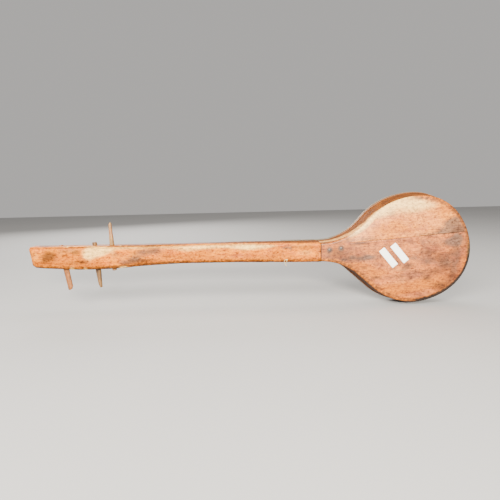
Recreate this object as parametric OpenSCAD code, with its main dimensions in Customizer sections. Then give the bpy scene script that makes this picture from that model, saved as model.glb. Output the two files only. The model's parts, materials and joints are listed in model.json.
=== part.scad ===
// Folk banjo: a carved neck and pegbox, a teardrop rim, a two-board back and a skin head.
// It stands on the edge of its rim: X runs along the neck towards the body, Z is up,
// and Y runs through the body from the wooden back (-Y) to the skin head (+Y).

/* [Body] */
// Length from the tip of the head to the end of the body
total_length = 764; // [724:4:804]
// Radius of the body's round end at its front edge, with the skin
bulb_radius = 97.5; // [92.5:0.5:102.5]
// Radius of the body's fuller flanks at the front edge
flank_radius = 116; // [110:1:125]
// Slope of the upper flank where it turns into the waist
upper_flank_angle = 49; // [44:1:50]
// Slope of the lower flank where it turns into the waist
lower_flank_angle = 42; // [41:1:50]
// How far the carved round end strays from a true circle
out_of_round = 1.1; // [0:0.1:1.5]
// Distance from the centre of the round end to the joint with the neck
heel_reach = 163.7; // [160:0.1:168]
// How much narrower the back of the body is than its front, on each side
side_flare = 5; // [2:0.5:7]
// Depth of the body from its back to the playing face of the skin
body_depth = 42; // [38:1:50]
// Thickness of the rim's wall
rim_wall = 9; // [7:0.5:11]
// Length of the solid block where the rim holds the neck
heel_block = 56; // [52:1:62]

/* [Back] */
// Thickness of the back boards
board_thickness = 5.5; // [4.5:0.5:7]
// Radius of the rounded edge of the back boards
board_edge = 4; // [2:0.5:4.5]
// Height of the seam above the body's axis at the neck joint
seam_rise = 11.3; // [8:0.1:12]
// Slope of the seam along the body
seam_angle = 4.3; // [3:0.1:4.5]

/* [Neck] */
// Width of the neck above its axis, where it meets the body
upper_half = 16.6; // [15:0.1:18]
// Width of the neck below its axis, where it meets the body
lower_half = 16; // [15:0.1:18]
// Thickness of the neck between the head and the heel
neck_thickness = 25; // [22:1:28]
// Thickness of the head at the pegs
head_thickness = 27; // [25:1:30]
// How far the head's lower edge bellies out below the neck's line
head_belly = 6.5; // [4:0.5:8]
// How far the head's upper edge rises above the neck's line
head_rise = 1.9; // [1:0.1:3]
// Width of the string trough in the head
trough_width = 19; // [18:0.5:20]
// Depth of the string trough
trough_depth = 17; // [16:0.5:18]

/* [Pegs] */
// Radius of a peg's round shaft
peg_radius = 4; // [3.6:0.1:4.4]
// Depth of the pegs' axes below the front of the head
peg_depth = 10.5; // [9:0.5:11]

/* [Strings] */
// Diameter of the gut strings
string_diameter = 0.8; // [0.6:0.1:1]
// Spacing of the strings at the nut
nut_spacing = 7; // [6:0.5:8]
// Spacing of the strings at the bridge and the tail bar
bridge_spacing = 9; // [8:0.5:11]
// Height of the strings above the skin at the bridge
bridge_height = 14; // [12:0.5:16]
// Distance from the bridge to the end of the body
bridge_from_tail = 118; // [105:1:130]

/* [Skin] */
// Thickness of the skin head
skin = 1; // [0.8:0.1:1.4]
// Depth to which the skin is folded down the sides
skin_fold = 8; // [6:0.5:10]
// Length of the skin's tongue on the neck
tongue_length = 65; // [55:1:75]

/* [Hidden] */
$fn = 48;
touch = 0.02;   // gap that keeps neighbouring pieces of one body from sharing volume
past = 1;       // how far a cutter runs past the face that it cuts

// Places, in the frame of the whole instrument
tip_x = -total_length / 2;
tail_x = total_length / 2;
bulb_x = tail_x - bulb_radius;
heel_x = bulb_x - heel_reach;
axis_z = bulb_radius;
back_y = -(body_depth + bridge_height + string_diameter / 2) / 2;
skin_y = back_y + body_depth;
front_y = skin_y - skin;
board_y = back_y + board_thickness;

// Neck and head
heel_swell_x = -50;         // where the neck starts to thicken towards the heel
head_swell_x = -225;        // where the head has its full thickness
head_swell_length = 60;
belly_x = -273;             // widest place of the head's lower edge
belly_reach = [138, 172];   // length of the belly towards the tip and towards the neck
tip_slant = 5;              // how far the tip's lower corner lies behind the upper one
tip_corner = [3.5, 7];      // radii of the tip's upper and lower corners
tip_curve = [20, 12];       // length and depth of the curve of the back at the tip
trough_x = [-348, -224];
tenon = [40, 22, 18];       // the neck's tenon in the rim: length, depth in Y, height in Z
tenon_y = back_y + 10;      // back face of the tenon
lace_at = [62.8, -11];      // hole for the gut lace through the neck: place and height above the axis
lace_hole_r = 0.8;
lace_gap = 0.1;             // slack between the lace and what it goes round
nut_x = -218;
nut_size = [5, 4, 29];      // thickness, height above the neck, width

// Pegs from the tip towards the neck: place, tilt, and the ends of the stick above the axis
peg_x = [-326.7, -268.8, -239.5];
peg_tilt = [7.6, 3.2, 1.4];
peg_tip_z = [-61.5, -58.5, 57.5];
peg_stub_z = [19.4, 23.4, -27.4];
peg_handle = [[9.8, 9, 6], [9.6, 6, 6], [8, 4.8, 5.4]];     // width at the root, width and thickness at the tip
handle_start = [22.3, 24.3, 19.3];                          // distance from the axis to the handle's root
peg_clearance = 0.05;
peg_y = front_y - peg_depth;
wind_z = [-5.2, -0.6, 3.6];     // where the string meets each peg, above the axis
wind_turns = 4;
wind_pitch = string_diameter + 0.06;
string_gap = 0.4;              // clearance between a string and what turns beside it

// Bridge and tail bar
bridge_x = tail_x - bridge_from_tail;
bridge_size = [6, 44];      // thickness at the feet, width
bridge_top = 2.6;           // thickness at the top
bar_x = tail_x - 11.5;
bar_size = [9, 7, 42];      // thickness, height above the skin, width
bar_hole_r = 0.8;
bar_hole_y = skin_y + 4;
knot_r = 1.3;
tail_nail_z = 15.5;

// Nails: radii of the head and shank
tongue_nail = [2.6, 1.1];
tongue_nail_at = [[135.2, 3.9], [154.7, 6]];
tongue_nail_length = 24;
tail_nail = [1.9, 0.8];
tail_nail_length = 22;

// Battens that hold the two back boards together
batten_x = [232, 318];
batten_size = [13, 6, 66];
batten_z = axis_z + 14;

function arc(cx, cz, r, from, to, steps) =
    [for (k = [0:steps]) let (a = from + (to - from) * k / steps) [cx + r * cos(a), cz + r * sin(a)]];
function smooth(t) = let (c = min(1, max(0, t))) c * c * (3 - 2 * c);
function tail_of(list) = [for (k = [1:len(list) - 1]) list[k]];
function reversed(list) = [for (k = [len(list) - 1:-1:0]) list[k]];

// Half of the body's outline, as [x, height above the axis]; side is 1 above the axis and -1 below.
// Depth goes from 0 at the front edge to 1 at the back edge, and inset shrinks the outline.
function swell(a, side) = out_of_round * cos(4 * (side * a - 67.5));
function half_outline(depth, inset, side) =
    let (
        bulb = bulb_radius - skin - side_flare * depth - inset,
        flank = flank_radius - skin - side_flare * depth - inset,
        half = (side > 0 ? upper_half : lower_half) - inset,
        angle = side > 0 ? upper_flank_angle : lower_flank_angle,
        both = (heel_reach - (bulb - half) / tan(angle)) / (sin(angle) - (1 - cos(angle)) / tan(angle)),
        waist = both - flank
    )
    [for (p = concat(
        [for (a = [0:6:90]) (bulb + swell(a, side)) * [cos(a), sin(a)] + [bulb_x, 0]],
        [for (k = [1:8]) let (a = 90 + angle * k / 8)
            (flank + swell(a, side) * (1 - k / 8)) * [cos(a), sin(a)] + [bulb_x, bulb - flank]],
        tail_of(arc(heel_x, half + waist, waist, angle - 90, -90, 8))
    )) [p[0], side * p[1]]];
function outline(depth, inset) =
    concat(half_outline(depth, inset, 1), reversed(tail_of(half_outline(depth, inset, -1))));

// Edges of the neck and head, as heights above and below the axis
function upper_edge(x) = upper_half + head_rise * pow((heel_x - x) / (heel_x - tip_x), 2);
function lower_edge(x) =
    let (t = (x - belly_x) / (x < belly_x ? belly_reach[0] : belly_reach[1]))
    lower_half + (abs(t) < 1 ? head_belly * (1 + cos(180 * t)) / 2 : 0);
function neck_outline(grow) =
    let (
        left = tip_x + tip_curve[0],
        xs = concat([heel_x, -90], [for (x = [-125:-12:left]) x]),
        r = tip_corner
    )
    concat(
        [for (x = xs) [x, upper_edge(x) + grow]],
        arc(tip_x + r[0], upper_edge(tip_x) - r[0], r[0] + grow, 90, 180, 6),
        arc(tip_x + tip_slant + r[1], r[1] - lower_edge(tip_x + tip_slant), r[1] + grow, 180, 270, 6),
        [for (x = reversed(xs)) [x, -lower_edge(x) - grow]]
    );

// Thickness of the neck and head along X
function thickness(x) =
    neck_thickness
    + (front_y - back_y - neck_thickness) * smooth((x - heel_swell_x) / (heel_x - heel_swell_x))
    + (head_thickness - neck_thickness) * smooth((head_swell_x + head_swell_length - x) / head_swell_length)
    - (x < tip_x + tip_curve[0]
        ? tip_curve[1] * (1 - sqrt(1 - pow((tip_x + tip_curve[0] - x) / tip_curve[0], 2)))
        : 0);
function neck_profile() =
    let (xs = concat(
        [for (k = [0:5]) tip_x + tip_curve[0] * (1 - cos(15 * k))],
        [tip_x + tip_curve[0]],
        [for (x = [head_swell_x:10:head_swell_x + head_swell_length]) x],
        [for (k = [0:16]) heel_swell_x + (heel_x - heel_swell_x) * k / 16]
    ))
    concat([[heel_x, front_y], [tip_x, front_y]], [for (x = xs) [x, front_y - thickness(x)]]);

// Draws a flat shape given as [x, height above the axis] and gives it depth from y0 to y1
module plate(y0, y1) {
    translate([0, y1, axis_z]) rotate([90, 0, 0]) linear_extrude(y1 - y0) children();
}

// Solid through a row of rings of points that go anticlockwise as seen from before the first ring
module loft(rings) {
    n = len(rings[0]);
    last = len(rings) - 1;
    polyhedron(
        points = [for (ring = rings) each ring],
        faces = concat(
            [reversed([for (k = [0:n - 1]) k])],
            [[for (k = [0:n - 1]) last * n + k]],
            [for (l = [0:last - 1], k = [0:n - 1], half = [0, 1])
                let (a = l * n + k, b = l * n + (k + 1) % n)
                half == 0 ? [a, b, b + n] : [a, b + n, a + n]]
        )
    );
}

// Solid through levels of the body's outline, each [y, depth, inset], from back to front
module body_loft(levels) {
    loft([for (l = levels) [for (p = outline(l[1], l[2])) [p[0], l[0], axis_z + p[1]]]]);
}

// Thread through a list of points; across is a direction that the thread never takes
module thread(points, r, across) {
    loft([for (k = [0:len(points) - 1])
        let (
            along = points[min(k + 1, len(points) - 1)] - points[max(k - 1, 0)],
            u = cross(along, across) / norm(cross(along, across)),
            v = cross(u, along) / norm(along)
        )
        [for (a = [0:45:315]) points[k] + r * (cos(a) * u + sin(a) * v)]]);
}

// Round piece along +Y, with its base at y
module along_y(x, y, z, r, h) {
    translate([x, y, axis_z + z]) rotate([-90, 0, 0]) cylinder(r = r, h = h);
}

// Puts a child drawn along +Z from the neck's axis onto peg k, with +Z towards the peg's handle
module at_peg(k) {
    translate([peg_x[k], peg_y, axis_z])
        rotate([0, -peg_tilt[k], 0])
            rotate([peg_tip_z[k] < 0 ? 180 : 0, 0, 0])
                children();
}
function peg_end(k) = abs(peg_tip_z[k]) / cos(peg_tilt[k]);
function peg_stub(k) = abs(peg_stub_z[k]) / cos(peg_tilt[k]);

// ---- Wooden body ----

module lace_hole() {
    along_y(lace_at[0], back_y, lace_at[1], lace_hole_r, body_depth + past);
}

module nail_holes() {
    for (p = tongue_nail_at) {
        along_y(p[0], back_y, p[1], tongue_nail[1] + touch, tongue_nail_length + touch);
        along_y(p[0], back_y - past, p[1], tongue_nail[0] + touch, past + 1 + touch);
    }
}

module tail_nail_holes() {
    for (side = [-1, 1]) {
        along_y(bar_x, skin_y + bar_size[1] - tail_nail_length, side * tail_nail_z,
            tail_nail[1] + touch, tail_nail_length + past);
        along_y(bar_x, skin_y + bar_size[1] - 1 - touch, side * tail_nail_z, tail_nail[0] + touch, past + 1);
    }
}

module tenon_block() {
    translate([heel_x - past, tenon_y, axis_z - tenon[2] / 2]) cube([tenon[0] + past, tenon[1], tenon[2]]);
}

module neck() {
    color("peru") difference() {
        union() {
            intersection() {
                plate(back_y, front_y) polygon(neck_outline(0));
                translate([0, 0, axis_z - 40]) linear_extrude(80) polygon(neck_profile());
            }
            tenon_block();
        }
        plate(front_y - trough_depth, front_y + past) {
            for (x = [trough_x[0] + trough_width / 2, trough_x[1] - trough_width / 2])
                translate([x, 0]) circle(d = trough_width);
            translate([trough_x[0] + trough_width / 2, -trough_width / 2])
                square([trough_x[1] - trough_x[0] - trough_width, trough_width]);
        }
        for (k = [0:2]) at_peg(k)
            translate([0, 0, -60]) cylinder(r = peg_radius + peg_clearance, h = 120);
        nail_holes();
        lace_hole();
    }
}

module rim() {
    color("sienna") difference() {
        body_loft([[board_y, 1, 0], [front_y, 0, 0]]);
        plate(board_y - past, front_y + past) intersection() {
            polygon(outline(1, rim_wall));
            translate([heel_x + heel_block, -bulb_radius]) square(2 * bulb_radius);
        }
        tenon_block();
        nail_holes();
        tail_nail_holes();
    }
}

// Half of the back: side 1 is above the seam and -1 below it
module back_board(side) {
    round_steps = 3;
    difference() {
        body_loft(concat(
            [for (k = [0:round_steps]) let (a = 90 * (1 - k / round_steps))
                [back_y + board_edge * (1 - sin(a)), 1, board_edge * (1 - cos(a))]],
            [[board_y, 1, 0]]
        ));
        translate([heel_x, 0, axis_z + seam_rise]) rotate([0, -seam_angle, 0])
            translate([-50, back_y - past, side > 0 ? -200 : 0])
                cube([400, board_thickness + 2 * past, 200]);
        nail_holes();
    }
}

module back_board_lower() {
    color("sienna") back_board(-1);
}

module back_board_upper() {
    color("peru") back_board(1);
}

module back_batten(k) {
    color("burlywood") translate([batten_x[k] - batten_size[0] / 2, board_y, batten_z - batten_size[2] / 2])
        cube(batten_size);
}

module tongue_nails() {
    color("silver") for (p = tongue_nail_at) {
        along_y(p[0], back_y, p[1], tongue_nail[0], 1);
        along_y(p[0], back_y, p[1], tongue_nail[1], tongue_nail_length);
    }
}

// ---- Skin head and what stands on it ----

module skin_head() {
    fold_depth = (skin_fold - skin) / (front_y - board_y);
    color("linen") difference() {
        union() {
            body_loft([
                [skin_y - skin_fold, fold_depth, -skin],
                [skin_y - skin / 2, 0, -skin],
                [skin_y, 0, -skin / 2]
            ]);
            plate(skin_y - skin_fold, skin_y) intersection() {
                polygon(neck_outline(skin));
                translate([heel_x - tongue_length, -bulb_radius]) square([tongue_length + touch, 2 * bulb_radius]);
            }
        }
        body_loft([
            [skin_y - skin_fold - past, fold_depth + past / (front_y - board_y), -touch],
            [front_y, 0, -touch]
        ]);
        plate(back_y, front_y) intersection() {
            polygon(neck_outline(0));
            translate([heel_x - tongue_length - past, -bulb_radius])
                square([tongue_length + past + 2 * touch, 2 * bulb_radius]);
        }
        tail_nail_holes();
        lace_hole();
    }
}

// Gut lace that holds the skin's tongue: through the neck, round its lower edge, and into a knot
module neck_lace() {
    r = string_diameter / 2;
    bend = 0.7;
    low = -lower_edge(lace_at[0]) - skin - r - lace_gap;
    near = front_y - thickness(lace_at[0] + r) - r - lace_gap;
    far = skin_y + r + lace_gap;
    knot = [near, (lace_at[1] + low) / 2];
    lace_knot_r = 1.5 * string_diameter;
    knot_y = near + r - lace_knot_r;
    loop = concat(
        [knot],
        [for (c = [[near + bend, lace_at[1] - bend, 180], [far - bend, lace_at[1] - bend, 90],
                   [far - bend, low + bend, 0], [near + bend, low + bend, -90]])
            each arc(c[0], c[1], bend, c[2], c[2] - 90, 3)],
        [knot - [0, 0.5]]
    );
    color("wheat") {
        thread([for (p = loop) [lace_at[0], p[0], axis_z + p[1]]], r, [1, 0, 0]);
        translate([lace_at[0], knot_y, axis_z + knot[1]]) sphere(r = lace_knot_r);
        thread([[lace_at[0], knot_y, axis_z + knot[1]], [lace_at[0] - 1.5, near - 3 * r, axis_z + low],
            [lace_at[0] + 0.5, near - r, axis_z + low - 5.5]], r, [1, 0, 0]);
    }
}

module nut() {
    color("saddlebrown") difference() {
        translate([nut_x - nut_size[0] / 2, front_y, axis_z - nut_size[2] / 2]) cube(nut_size);
        for (k = [-1:1]) translate([nut_x - nut_size[0], front_y + nut_size[1], axis_z + k * nut_spacing])
            rotate([0, 90, 0]) cylinder(r = string_diameter / 2 + touch, h = 2 * nut_size[0]);
    }
}

module bridge() {
    half = bridge_size[1] / 2;
    arch = 5;
    color("saddlebrown") difference() {
        intersection() {
            translate([bridge_x, skin_y, axis_z - half]) linear_extrude(bridge_size[1])
                polygon([[-bridge_size[0] / 2, 0], [bridge_size[0] / 2, 0],
                    [bridge_top / 2, bridge_height], [-bridge_top / 2, bridge_height]]);
            translate([bridge_x - bridge_size[0], skin_y, axis_z]) rotate([90, 0, 90])
                linear_extrude(2 * bridge_size[0]) polygon(concat(
                    [[0, -half], [3.5, -half], [bridge_height, 6 - half]],
                    [[bridge_height, half - 6], [3.5, half], [0, half]],
                    [for (t = [60:-12:-60]) [arch * (1 - pow(t / 60, 2)), (half - 9) * t / 60]]
                ));
        }
        for (k = [-1:1]) translate([bridge_x - bridge_size[0], skin_y + bridge_height, axis_z + k * bridge_spacing])
            rotate([0, 90, 0]) cylinder(r = string_diameter / 2 + touch, h = 2 * bridge_size[0]);
    }
}

module tail_bar() {
    color("saddlebrown") difference() {
        translate([bar_x, skin_y, axis_z - bar_size[2] / 2]) linear_extrude(bar_size[2])
            polygon([[-bar_size[0] / 2, 0], [bar_size[0] / 2, 0], [bar_size[0] / 2, bar_size[1] - 2],
                [bar_size[0] / 2 - 1.5, bar_size[1]], [1.5 - bar_size[0] / 2, bar_size[1]],
                [-bar_size[0] / 2, bar_size[1] - 2]]);
        for (k = [-1:1]) translate([bar_x - bar_size[0], bar_hole_y, axis_z + k * bridge_spacing])
            rotate([0, 90, 0]) cylinder(r = bar_hole_r, h = 2 * bar_size[0]);
        tail_nail_holes();
    }
}

module tail_nails() {
    color("silver") for (side = [-1, 1]) {
        along_y(bar_x, skin_y + bar_size[1] - tail_nail_length, side * tail_nail_z, tail_nail[1], tail_nail_length);
        along_y(bar_x, skin_y + bar_size[1] - 1, side * tail_nail_z, tail_nail[0], 1);
    }
}

// ---- Pegs and strings ----

module peg(k) {
    root = peg_handle[k][0];
    tip = peg_handle[k][1];
    thick = peg_handle[k][2];
    color("burlywood") at_peg(k) difference() {
        union() {
            translate([0, 0, -peg_stub(k)]) cylinder(r = peg_radius, h = peg_stub(k) + handle_start[k]);
            hull() {
                translate([0, 0, handle_start[k]]) scale([root / 8, 1, 1]) cylinder(r = 4, h = 1, $fn = 8);
                translate([-tip / 2, -thick / 2, peg_end(k) - 5]) cube([tip, thick, 0.5]);
                translate([-tip / 4, -thick / 3, peg_end(k) - 0.5]) cube([tip / 2, thick * 2 / 3, 0.5]);
            }
        }
        translate([0, 0, string_hole_z(k)]) rotate([90, 0, 0])
            cylinder(r = string_diameter / 2 + 0.2, h = 4 * peg_radius, center = true);
    }
}

// Place of a turn of string along peg k, towards its handle, and of the hole for the string's end
function turn_z(k, turn) =
    wind_z[k] * sign(peg_tip_z[k]) / cos(peg_tilt[k]) - wind_pitch * turn - string_gap;
function string_hole_z(k) = turn_z(k, wind_turns + 1.2);

// Turns of string round a peg, and its end through the peg's hole
module winding(k) {
    r = string_diameter / 2;
    color("wheat") at_peg(k) {
        for (turn = [1:wind_turns]) translate([0, 0, turn_z(k, turn)])
            rotate_extrude() translate([peg_radius + r + touch, 0]) circle(r = r, $fn = 20);
        translate([0, 0, string_hole_z(k)]) rotate([90, 0, 0])
            cylinder(r = r, h = 2 * peg_radius + 3, center = true, $fn = 20);
    }
}

// Route of string k from its peg over the nut and the bridge to its knot behind the tail bar
function string_route(k) =
    let (
        lane = k - 1,
        ring = peg_radius + string_diameter / 2 + string_gap,
        centre = [peg_x[k] - wind_z[k] * tan(peg_tilt[k]), peg_y],
        nut_y = front_y + nut_size[1],
        nut_near = [nut_x - nut_size[0] / 2, nut_y] - centre,
        rise = atan2(nut_near[1], nut_near[0]) - asin(ring / norm(nut_near)),
        nut_z = axis_z + lane * nut_spacing,
        end_z = axis_z + lane * bridge_spacing,
        top_y = skin_y + bridge_height
    )
    [
        [centre[0] - ring * sin(rise), centre[1] + ring * cos(rise), axis_z + wind_z[k]],
        [nut_x - nut_size[0] / 2, nut_y, nut_z],
        [nut_x + nut_size[0] / 2, nut_y, nut_z],
        [bridge_x - bridge_top / 2, top_y, end_z],
        [bridge_x + bridge_top / 2, top_y, end_z],
        [bar_x - bar_size[0] / 2 - 1, bar_hole_y, end_z],
        [bar_x + bar_size[0] / 2 + knot_r + touch, bar_hole_y, end_z]
    ];

module gut_string(k) {
    route = string_route(k);
    color("wheat") {
        thread(route, string_diameter / 2, [0, 0, 1]);
        translate(route[6]) sphere(r = knot_r, $fn = 24);
    }
}

neck();
rim();
back_board_lower();
back_board_upper();
back_batten(0);  // back_batten_waist
back_batten(1);  // back_batten_tail
tongue_nails();
skin_head();
neck_lace();
nut();
bridge();
tail_bar();
tail_nails();
peg(0);  // peg_outer
peg(1);  // peg_middle
peg(2);  // peg_inner
winding(0);  // winding_outer
winding(1);  // winding_middle
winding(2);  // winding_inner
gut_string(0);  // string_outer
gut_string(1);  // string_middle
gut_string(2);  // string_inner
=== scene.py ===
"""A three-string folk banjo, seen from its wooden back as it stands on the edge of its rim.

Shapes are worked out in millimetres, in the CAD model's frame: X runs from the head to the body, Y from
the wooden back to the skin and the strings, and Z is up. They become metres where a mesh is made.
"""

import json
from math import asin, atan2, cos, hypot, pi, radians, sin, sqrt, tan

import bmesh
import bpy
import numpy as np
from mathutils import Matrix, Vector, noise


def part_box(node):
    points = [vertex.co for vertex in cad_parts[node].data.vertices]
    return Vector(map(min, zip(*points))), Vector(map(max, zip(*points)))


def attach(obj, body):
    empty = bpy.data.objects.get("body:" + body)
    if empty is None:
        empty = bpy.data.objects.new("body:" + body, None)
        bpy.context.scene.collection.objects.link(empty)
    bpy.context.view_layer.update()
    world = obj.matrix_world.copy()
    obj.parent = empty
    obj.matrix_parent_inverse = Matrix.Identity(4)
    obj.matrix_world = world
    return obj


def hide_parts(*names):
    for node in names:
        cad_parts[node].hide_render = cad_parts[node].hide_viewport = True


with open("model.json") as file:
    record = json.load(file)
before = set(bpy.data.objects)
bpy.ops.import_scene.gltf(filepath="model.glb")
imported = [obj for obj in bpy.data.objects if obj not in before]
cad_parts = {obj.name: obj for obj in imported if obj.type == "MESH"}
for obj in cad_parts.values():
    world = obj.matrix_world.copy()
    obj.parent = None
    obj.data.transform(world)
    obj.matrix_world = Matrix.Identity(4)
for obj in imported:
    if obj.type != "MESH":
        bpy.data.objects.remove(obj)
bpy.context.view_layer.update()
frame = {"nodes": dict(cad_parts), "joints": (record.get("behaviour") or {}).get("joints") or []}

MM = 0.001
ROOT = "neck_and_rim"


def node_box(node):
    """A CAD node's box in millimetres, as (lowest corner, highest corner)."""
    low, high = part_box(node)
    return np.array(low) / MM, np.array(high) / MM


# ---- Sizes and places, in millimetres ----

RIM_LOW, RIM_HIGH = node_box("rim")
SKIN_LOW, SKIN_HIGH = node_box("skin_head")
BRIDGE_LOW, BRIDGE_HIGH = node_box("bridge")
NUT_LOW, NUT_HIGH = node_box("nut")
BAR_LOW, BAR_HIGH = node_box("tail_bar")

TIP_X, BACK_Y = node_box("neck")[0][:2]
BOARD_Y = RIM_LOW[1]  # where the boards lie on the rim
FRONT_Y = RIM_HIGH[1]
SKIN_Y = SKIN_HIGH[1]
HEEL_X = RIM_LOW[0]  # the joint between neck and body
TAIL_X = SKIN_HIGH[0]
TONGUE_X = SKIN_LOW[0]
AXIS_Z = (SKIN_LOW[2] + SKIN_HIGH[2]) / 2
BRIDGE_X = (BRIDGE_LOW[0] + BRIDGE_HIGH[0]) / 2
SKIN = 1.0  # thickness
BULB = (SKIN_HIGH[2] - SKIN_LOW[2]) / 2  # radius of the body's round end
BULB_X = TAIL_X - BULB

# The body's outline. A side is 1 above the axis and -1 below it.
FLANK = 116  # radius of the flank, and how far round it goes on each side
FLANK_ANGLE = {1: radians(49), -1: radians(42)}
OUT_OF_ROUND = 1.1
FLARE = 5  # how much wider the front is than the back, on each side
RIM_WALL = 9
HEEL_BLOCK = 56  # length of the solid wood at the joint
HALF = {1: 16.6, -1: 16.0}  # half widths of the neck at the joint

# The back boards
BOARD_EDGE = 4  # radius of the rounded edge
BOARD_STEPS = 240  # points along each layer
FACE_DROP = (2.1, 26)  # how far the face drops at its edge, and how far in that starts
SEAM_RISE = 11.3  # height above the axis at the joint
SEAM_SLOPE = tan(radians(4.3))
SEAM_DEPTH = 1.2

# The neck and head
HEAD_RISE = 1.9  # how much higher the upper edge is at the tip than at the joint
HEAD_BELLY = 6.5  # depth of the bulge in the lower edge, its middle and its reach each way
BELLY_X = -273
BELLY_REACH = (138, 172)
TIP_SLANT = 5
TIP_CURVE = (20, 12)  # length and depth
TIP_CORNERS = (5, 8)  # upper and lower radius
NECK_THICK = 25
HEAD_THICK = 27
TROUGH = (-348, -224)
TROUGH_WIDTH = 19
TROUGH_DEPTH = 17
NAILS = ((135.2, 3.9), (154.7, 6.0))  # places: x and height above the axis
LACE = (62.8, -11)
CORNER_STEPS = 8  # points round each corner of a section, and steps between two corners
SIDE_STEPS = 9
# Bare chips on the head's edges: place, height above the axis, size
CHIPS = (
    (-306, -21, 2.6), (-284, -21.5, 1.8), (-223, -20.5, 2.4),
    (-217, -19.5, 2.2), (-313, 18, 1.4), (-222, 18, 1.2),
)

# The skin and what stands on it
SKIN_FOLD = 8.0  # how far it is folded down, and how round the fold is
SKIN_ROUND = 0.9
SKIN_SAG = 0.35
SHEET = 0.9  # thickness of the skin's mesh
BRIDGE_FOOT = 3  # half widths of the bridge
BRIDGE_TOP = 1.3
NOTCH = 0.5  # radius of a string's notch
TONGUE_NAIL_R = 2.4
TAIL_NAIL_R = 1.9

# The strings and the pegs
GUT = 0.4  # radius
LANES = (-1, 0, 1)
NUT_SPACING = 7
BRIDGE_SPACING = 9
BAR_HOLE_Y = SKIN_Y + 4
PEGS = ("outer", "middle", "inner")
WIND_Z = (-5.2, -0.6, 3.6)  # how far above its peg's place each string leaves it
PEG_R = 4.0
PEG_BORE = PEG_R + 0.06
WIND_R = PEG_R + GUT
PEG_LENGTH = {"outer": 62.0, "middle": 58.6, "inner": 57.5}
# How far each peg reaches on its short side, and where its handle starts
PEG_STUB = {"outer": 19.6, "middle": 23.4, "inner": 27.4}
PEG_ROOT = {"outer": 22.7, "middle": 24.3, "inner": 19.3}
# Widths of the handle at its root and at its tip, and its thickness at the tip
PEG_SIZES = {"outer": (9.8, 9.0, 6.0), "middle": (9.6, 6.0, 6.0), "inner": (8.0, 4.8, 5.4)}
PEG_SLOPE = {"outer": 2.6, "middle": -2.2, "inner": 1.8}  # slant of the tip

DEEP = np.array([0.0, 1.0, 0.0])  # the direction from the back to the front


def smooth(t):
    """0 below 0, 1 above 1, and a soft change between."""
    t = np.clip(t, 0, 1)
    return t * t * (3 - 2 * t)


def noise_at(x, y, z):
    """Noise from -1 to 1 with features of about 1. x, y and z are numbers or arrays."""
    return np.array([noise.noise(Vector(p)) for p in np.broadcast(x, y, z)])


def wobble(points, size, amount, seed=0):
    """Soft noise at each point, with features of about size millimetres, from -amount to amount."""
    shift = Vector((seed * 17.3, seed * 5.1, seed * 11.7))
    return np.array([noise.noise(Vector(p) / size + shift) for p in points]) * amount * 1.6


# ---- The camera and the light ----

CAMERA_PLACE = Vector((-0.00597, -0.6486, 0.2030))
CAMERA_TURN = (("Z", -0.631), ("X", 90 - 8.99), ("Z", -1.327))
SENSOR = 36
FOCAL_LENGTH = SENSOR * 373.7 / 500

# Each light's place, target, size, power and colour
LIGHTS = {
    "key": ((-0.6, -1.2, 1.0), (0.1, 0, 0.1), (0.9, 0.7), 62, (1.0, 0.95, 0.87)),
    "glare": ((0.2, -1.7, 0.64), (0.2, 0, 0.1), (0.55, 0.2), 104, (1.0, 0.95, 0.86)),
    "top": ((0.1, 0.35, 1.1), (0.1, 0, 0.1), (1.4, 0.6), 6, (1.0, 0.98, 0.95)),
    "back": ((-0.7, 1.4, 0.9), (0, 0, 0.1), (1.2, 0.9), 30, (1.0, 0.97, 0.93)),
}


def place_object(name, data):
    thing = bpy.data.objects.new(name, data)
    bpy.context.scene.collection.objects.link(thing)
    return thing


def add_camera():
    camera = place_object("camera", bpy.data.cameras.new("camera"))
    camera.data.sensor_width = SENSOR
    camera.data.lens = FOCAL_LENGTH
    camera.data.clip_start = 0.01
    camera.data.dof.use_dof = False
    turned = Matrix.Translation(CAMERA_PLACE)
    for axis, angle in CAMERA_TURN:
        turned = turned @ Matrix.Rotation(radians(angle), 4, axis)
    camera.matrix_world = turned
    bpy.context.scene.camera = camera


def add_light(name, place, target, size, power, colour):
    data = bpy.data.lights.new(name, "AREA")
    data.shape = "RECTANGLE"
    data.size, data.size_y = size
    data.energy = power
    data.color = colour
    light = place_object(name, data)
    light.location = place
    light.rotation_euler = (Vector(target) - Vector(place)).to_track_quat("-Z", "Y").to_euler()


def add_world():
    world = bpy.data.worlds.new("studio")
    world.use_nodes = True
    background = world.node_tree.nodes["Background"]
    background.inputs["Color"].default_value = (1.0, 0.97, 0.94, 1)
    background.inputs["Strength"].default_value = 0.5
    bpy.context.scene.world = world


add_camera()
add_world()
for light_name, light_facts in LIGHTS.items():
    add_light(light_name, *light_facts)


# ---- Materials ----

# Colours as the share of red, green and blue light that comes back
PEACH = (0.748, 0.234, 0.0382, 1)
# CREAM is the colour of the painted highlights, and of bare wood where chips are worn.
CREAM = (1.0, 0.64, 0.2, 1)
PINK = (0.527, 0.149, 0.051, 1)
ROSE_BROWN = (0.289, 0.0978, 0.034, 1)
ORANGE = (0.595, 0.17, 0.00255, 1)
AMBER = (0.782, 0.246, 0.00255, 1)
HONEY = (0.78, 0.212, 0.004, 1)
GOLD = (0.86, 0.31, 0.05, 1)
RUST = (0.23, 0.0697, 0.0051, 1)
GREY_BROWN = (0.145, 0.085, 0.0561, 1)
BROWN = (0.102, 0.0374, 0.0119, 1)
# Near-black: the painted shade, and the dark line at the neck joint.
SHADE_AND_JOINT_BLACK = (0.022, 0.011, 0.006, 1)
DULL = (0.70, 0.60, 0.54, 1)
FRONT_PALE = (0.46, 0.23, 0.1, 1)
FRONT_DARK = (0.34, 0.15, 0.055, 1)
RIM_PALE = (0.25, 0.072, 0.003, 1)
RIM_DARK = (0.15, 0.042, 0.003, 1)
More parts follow.
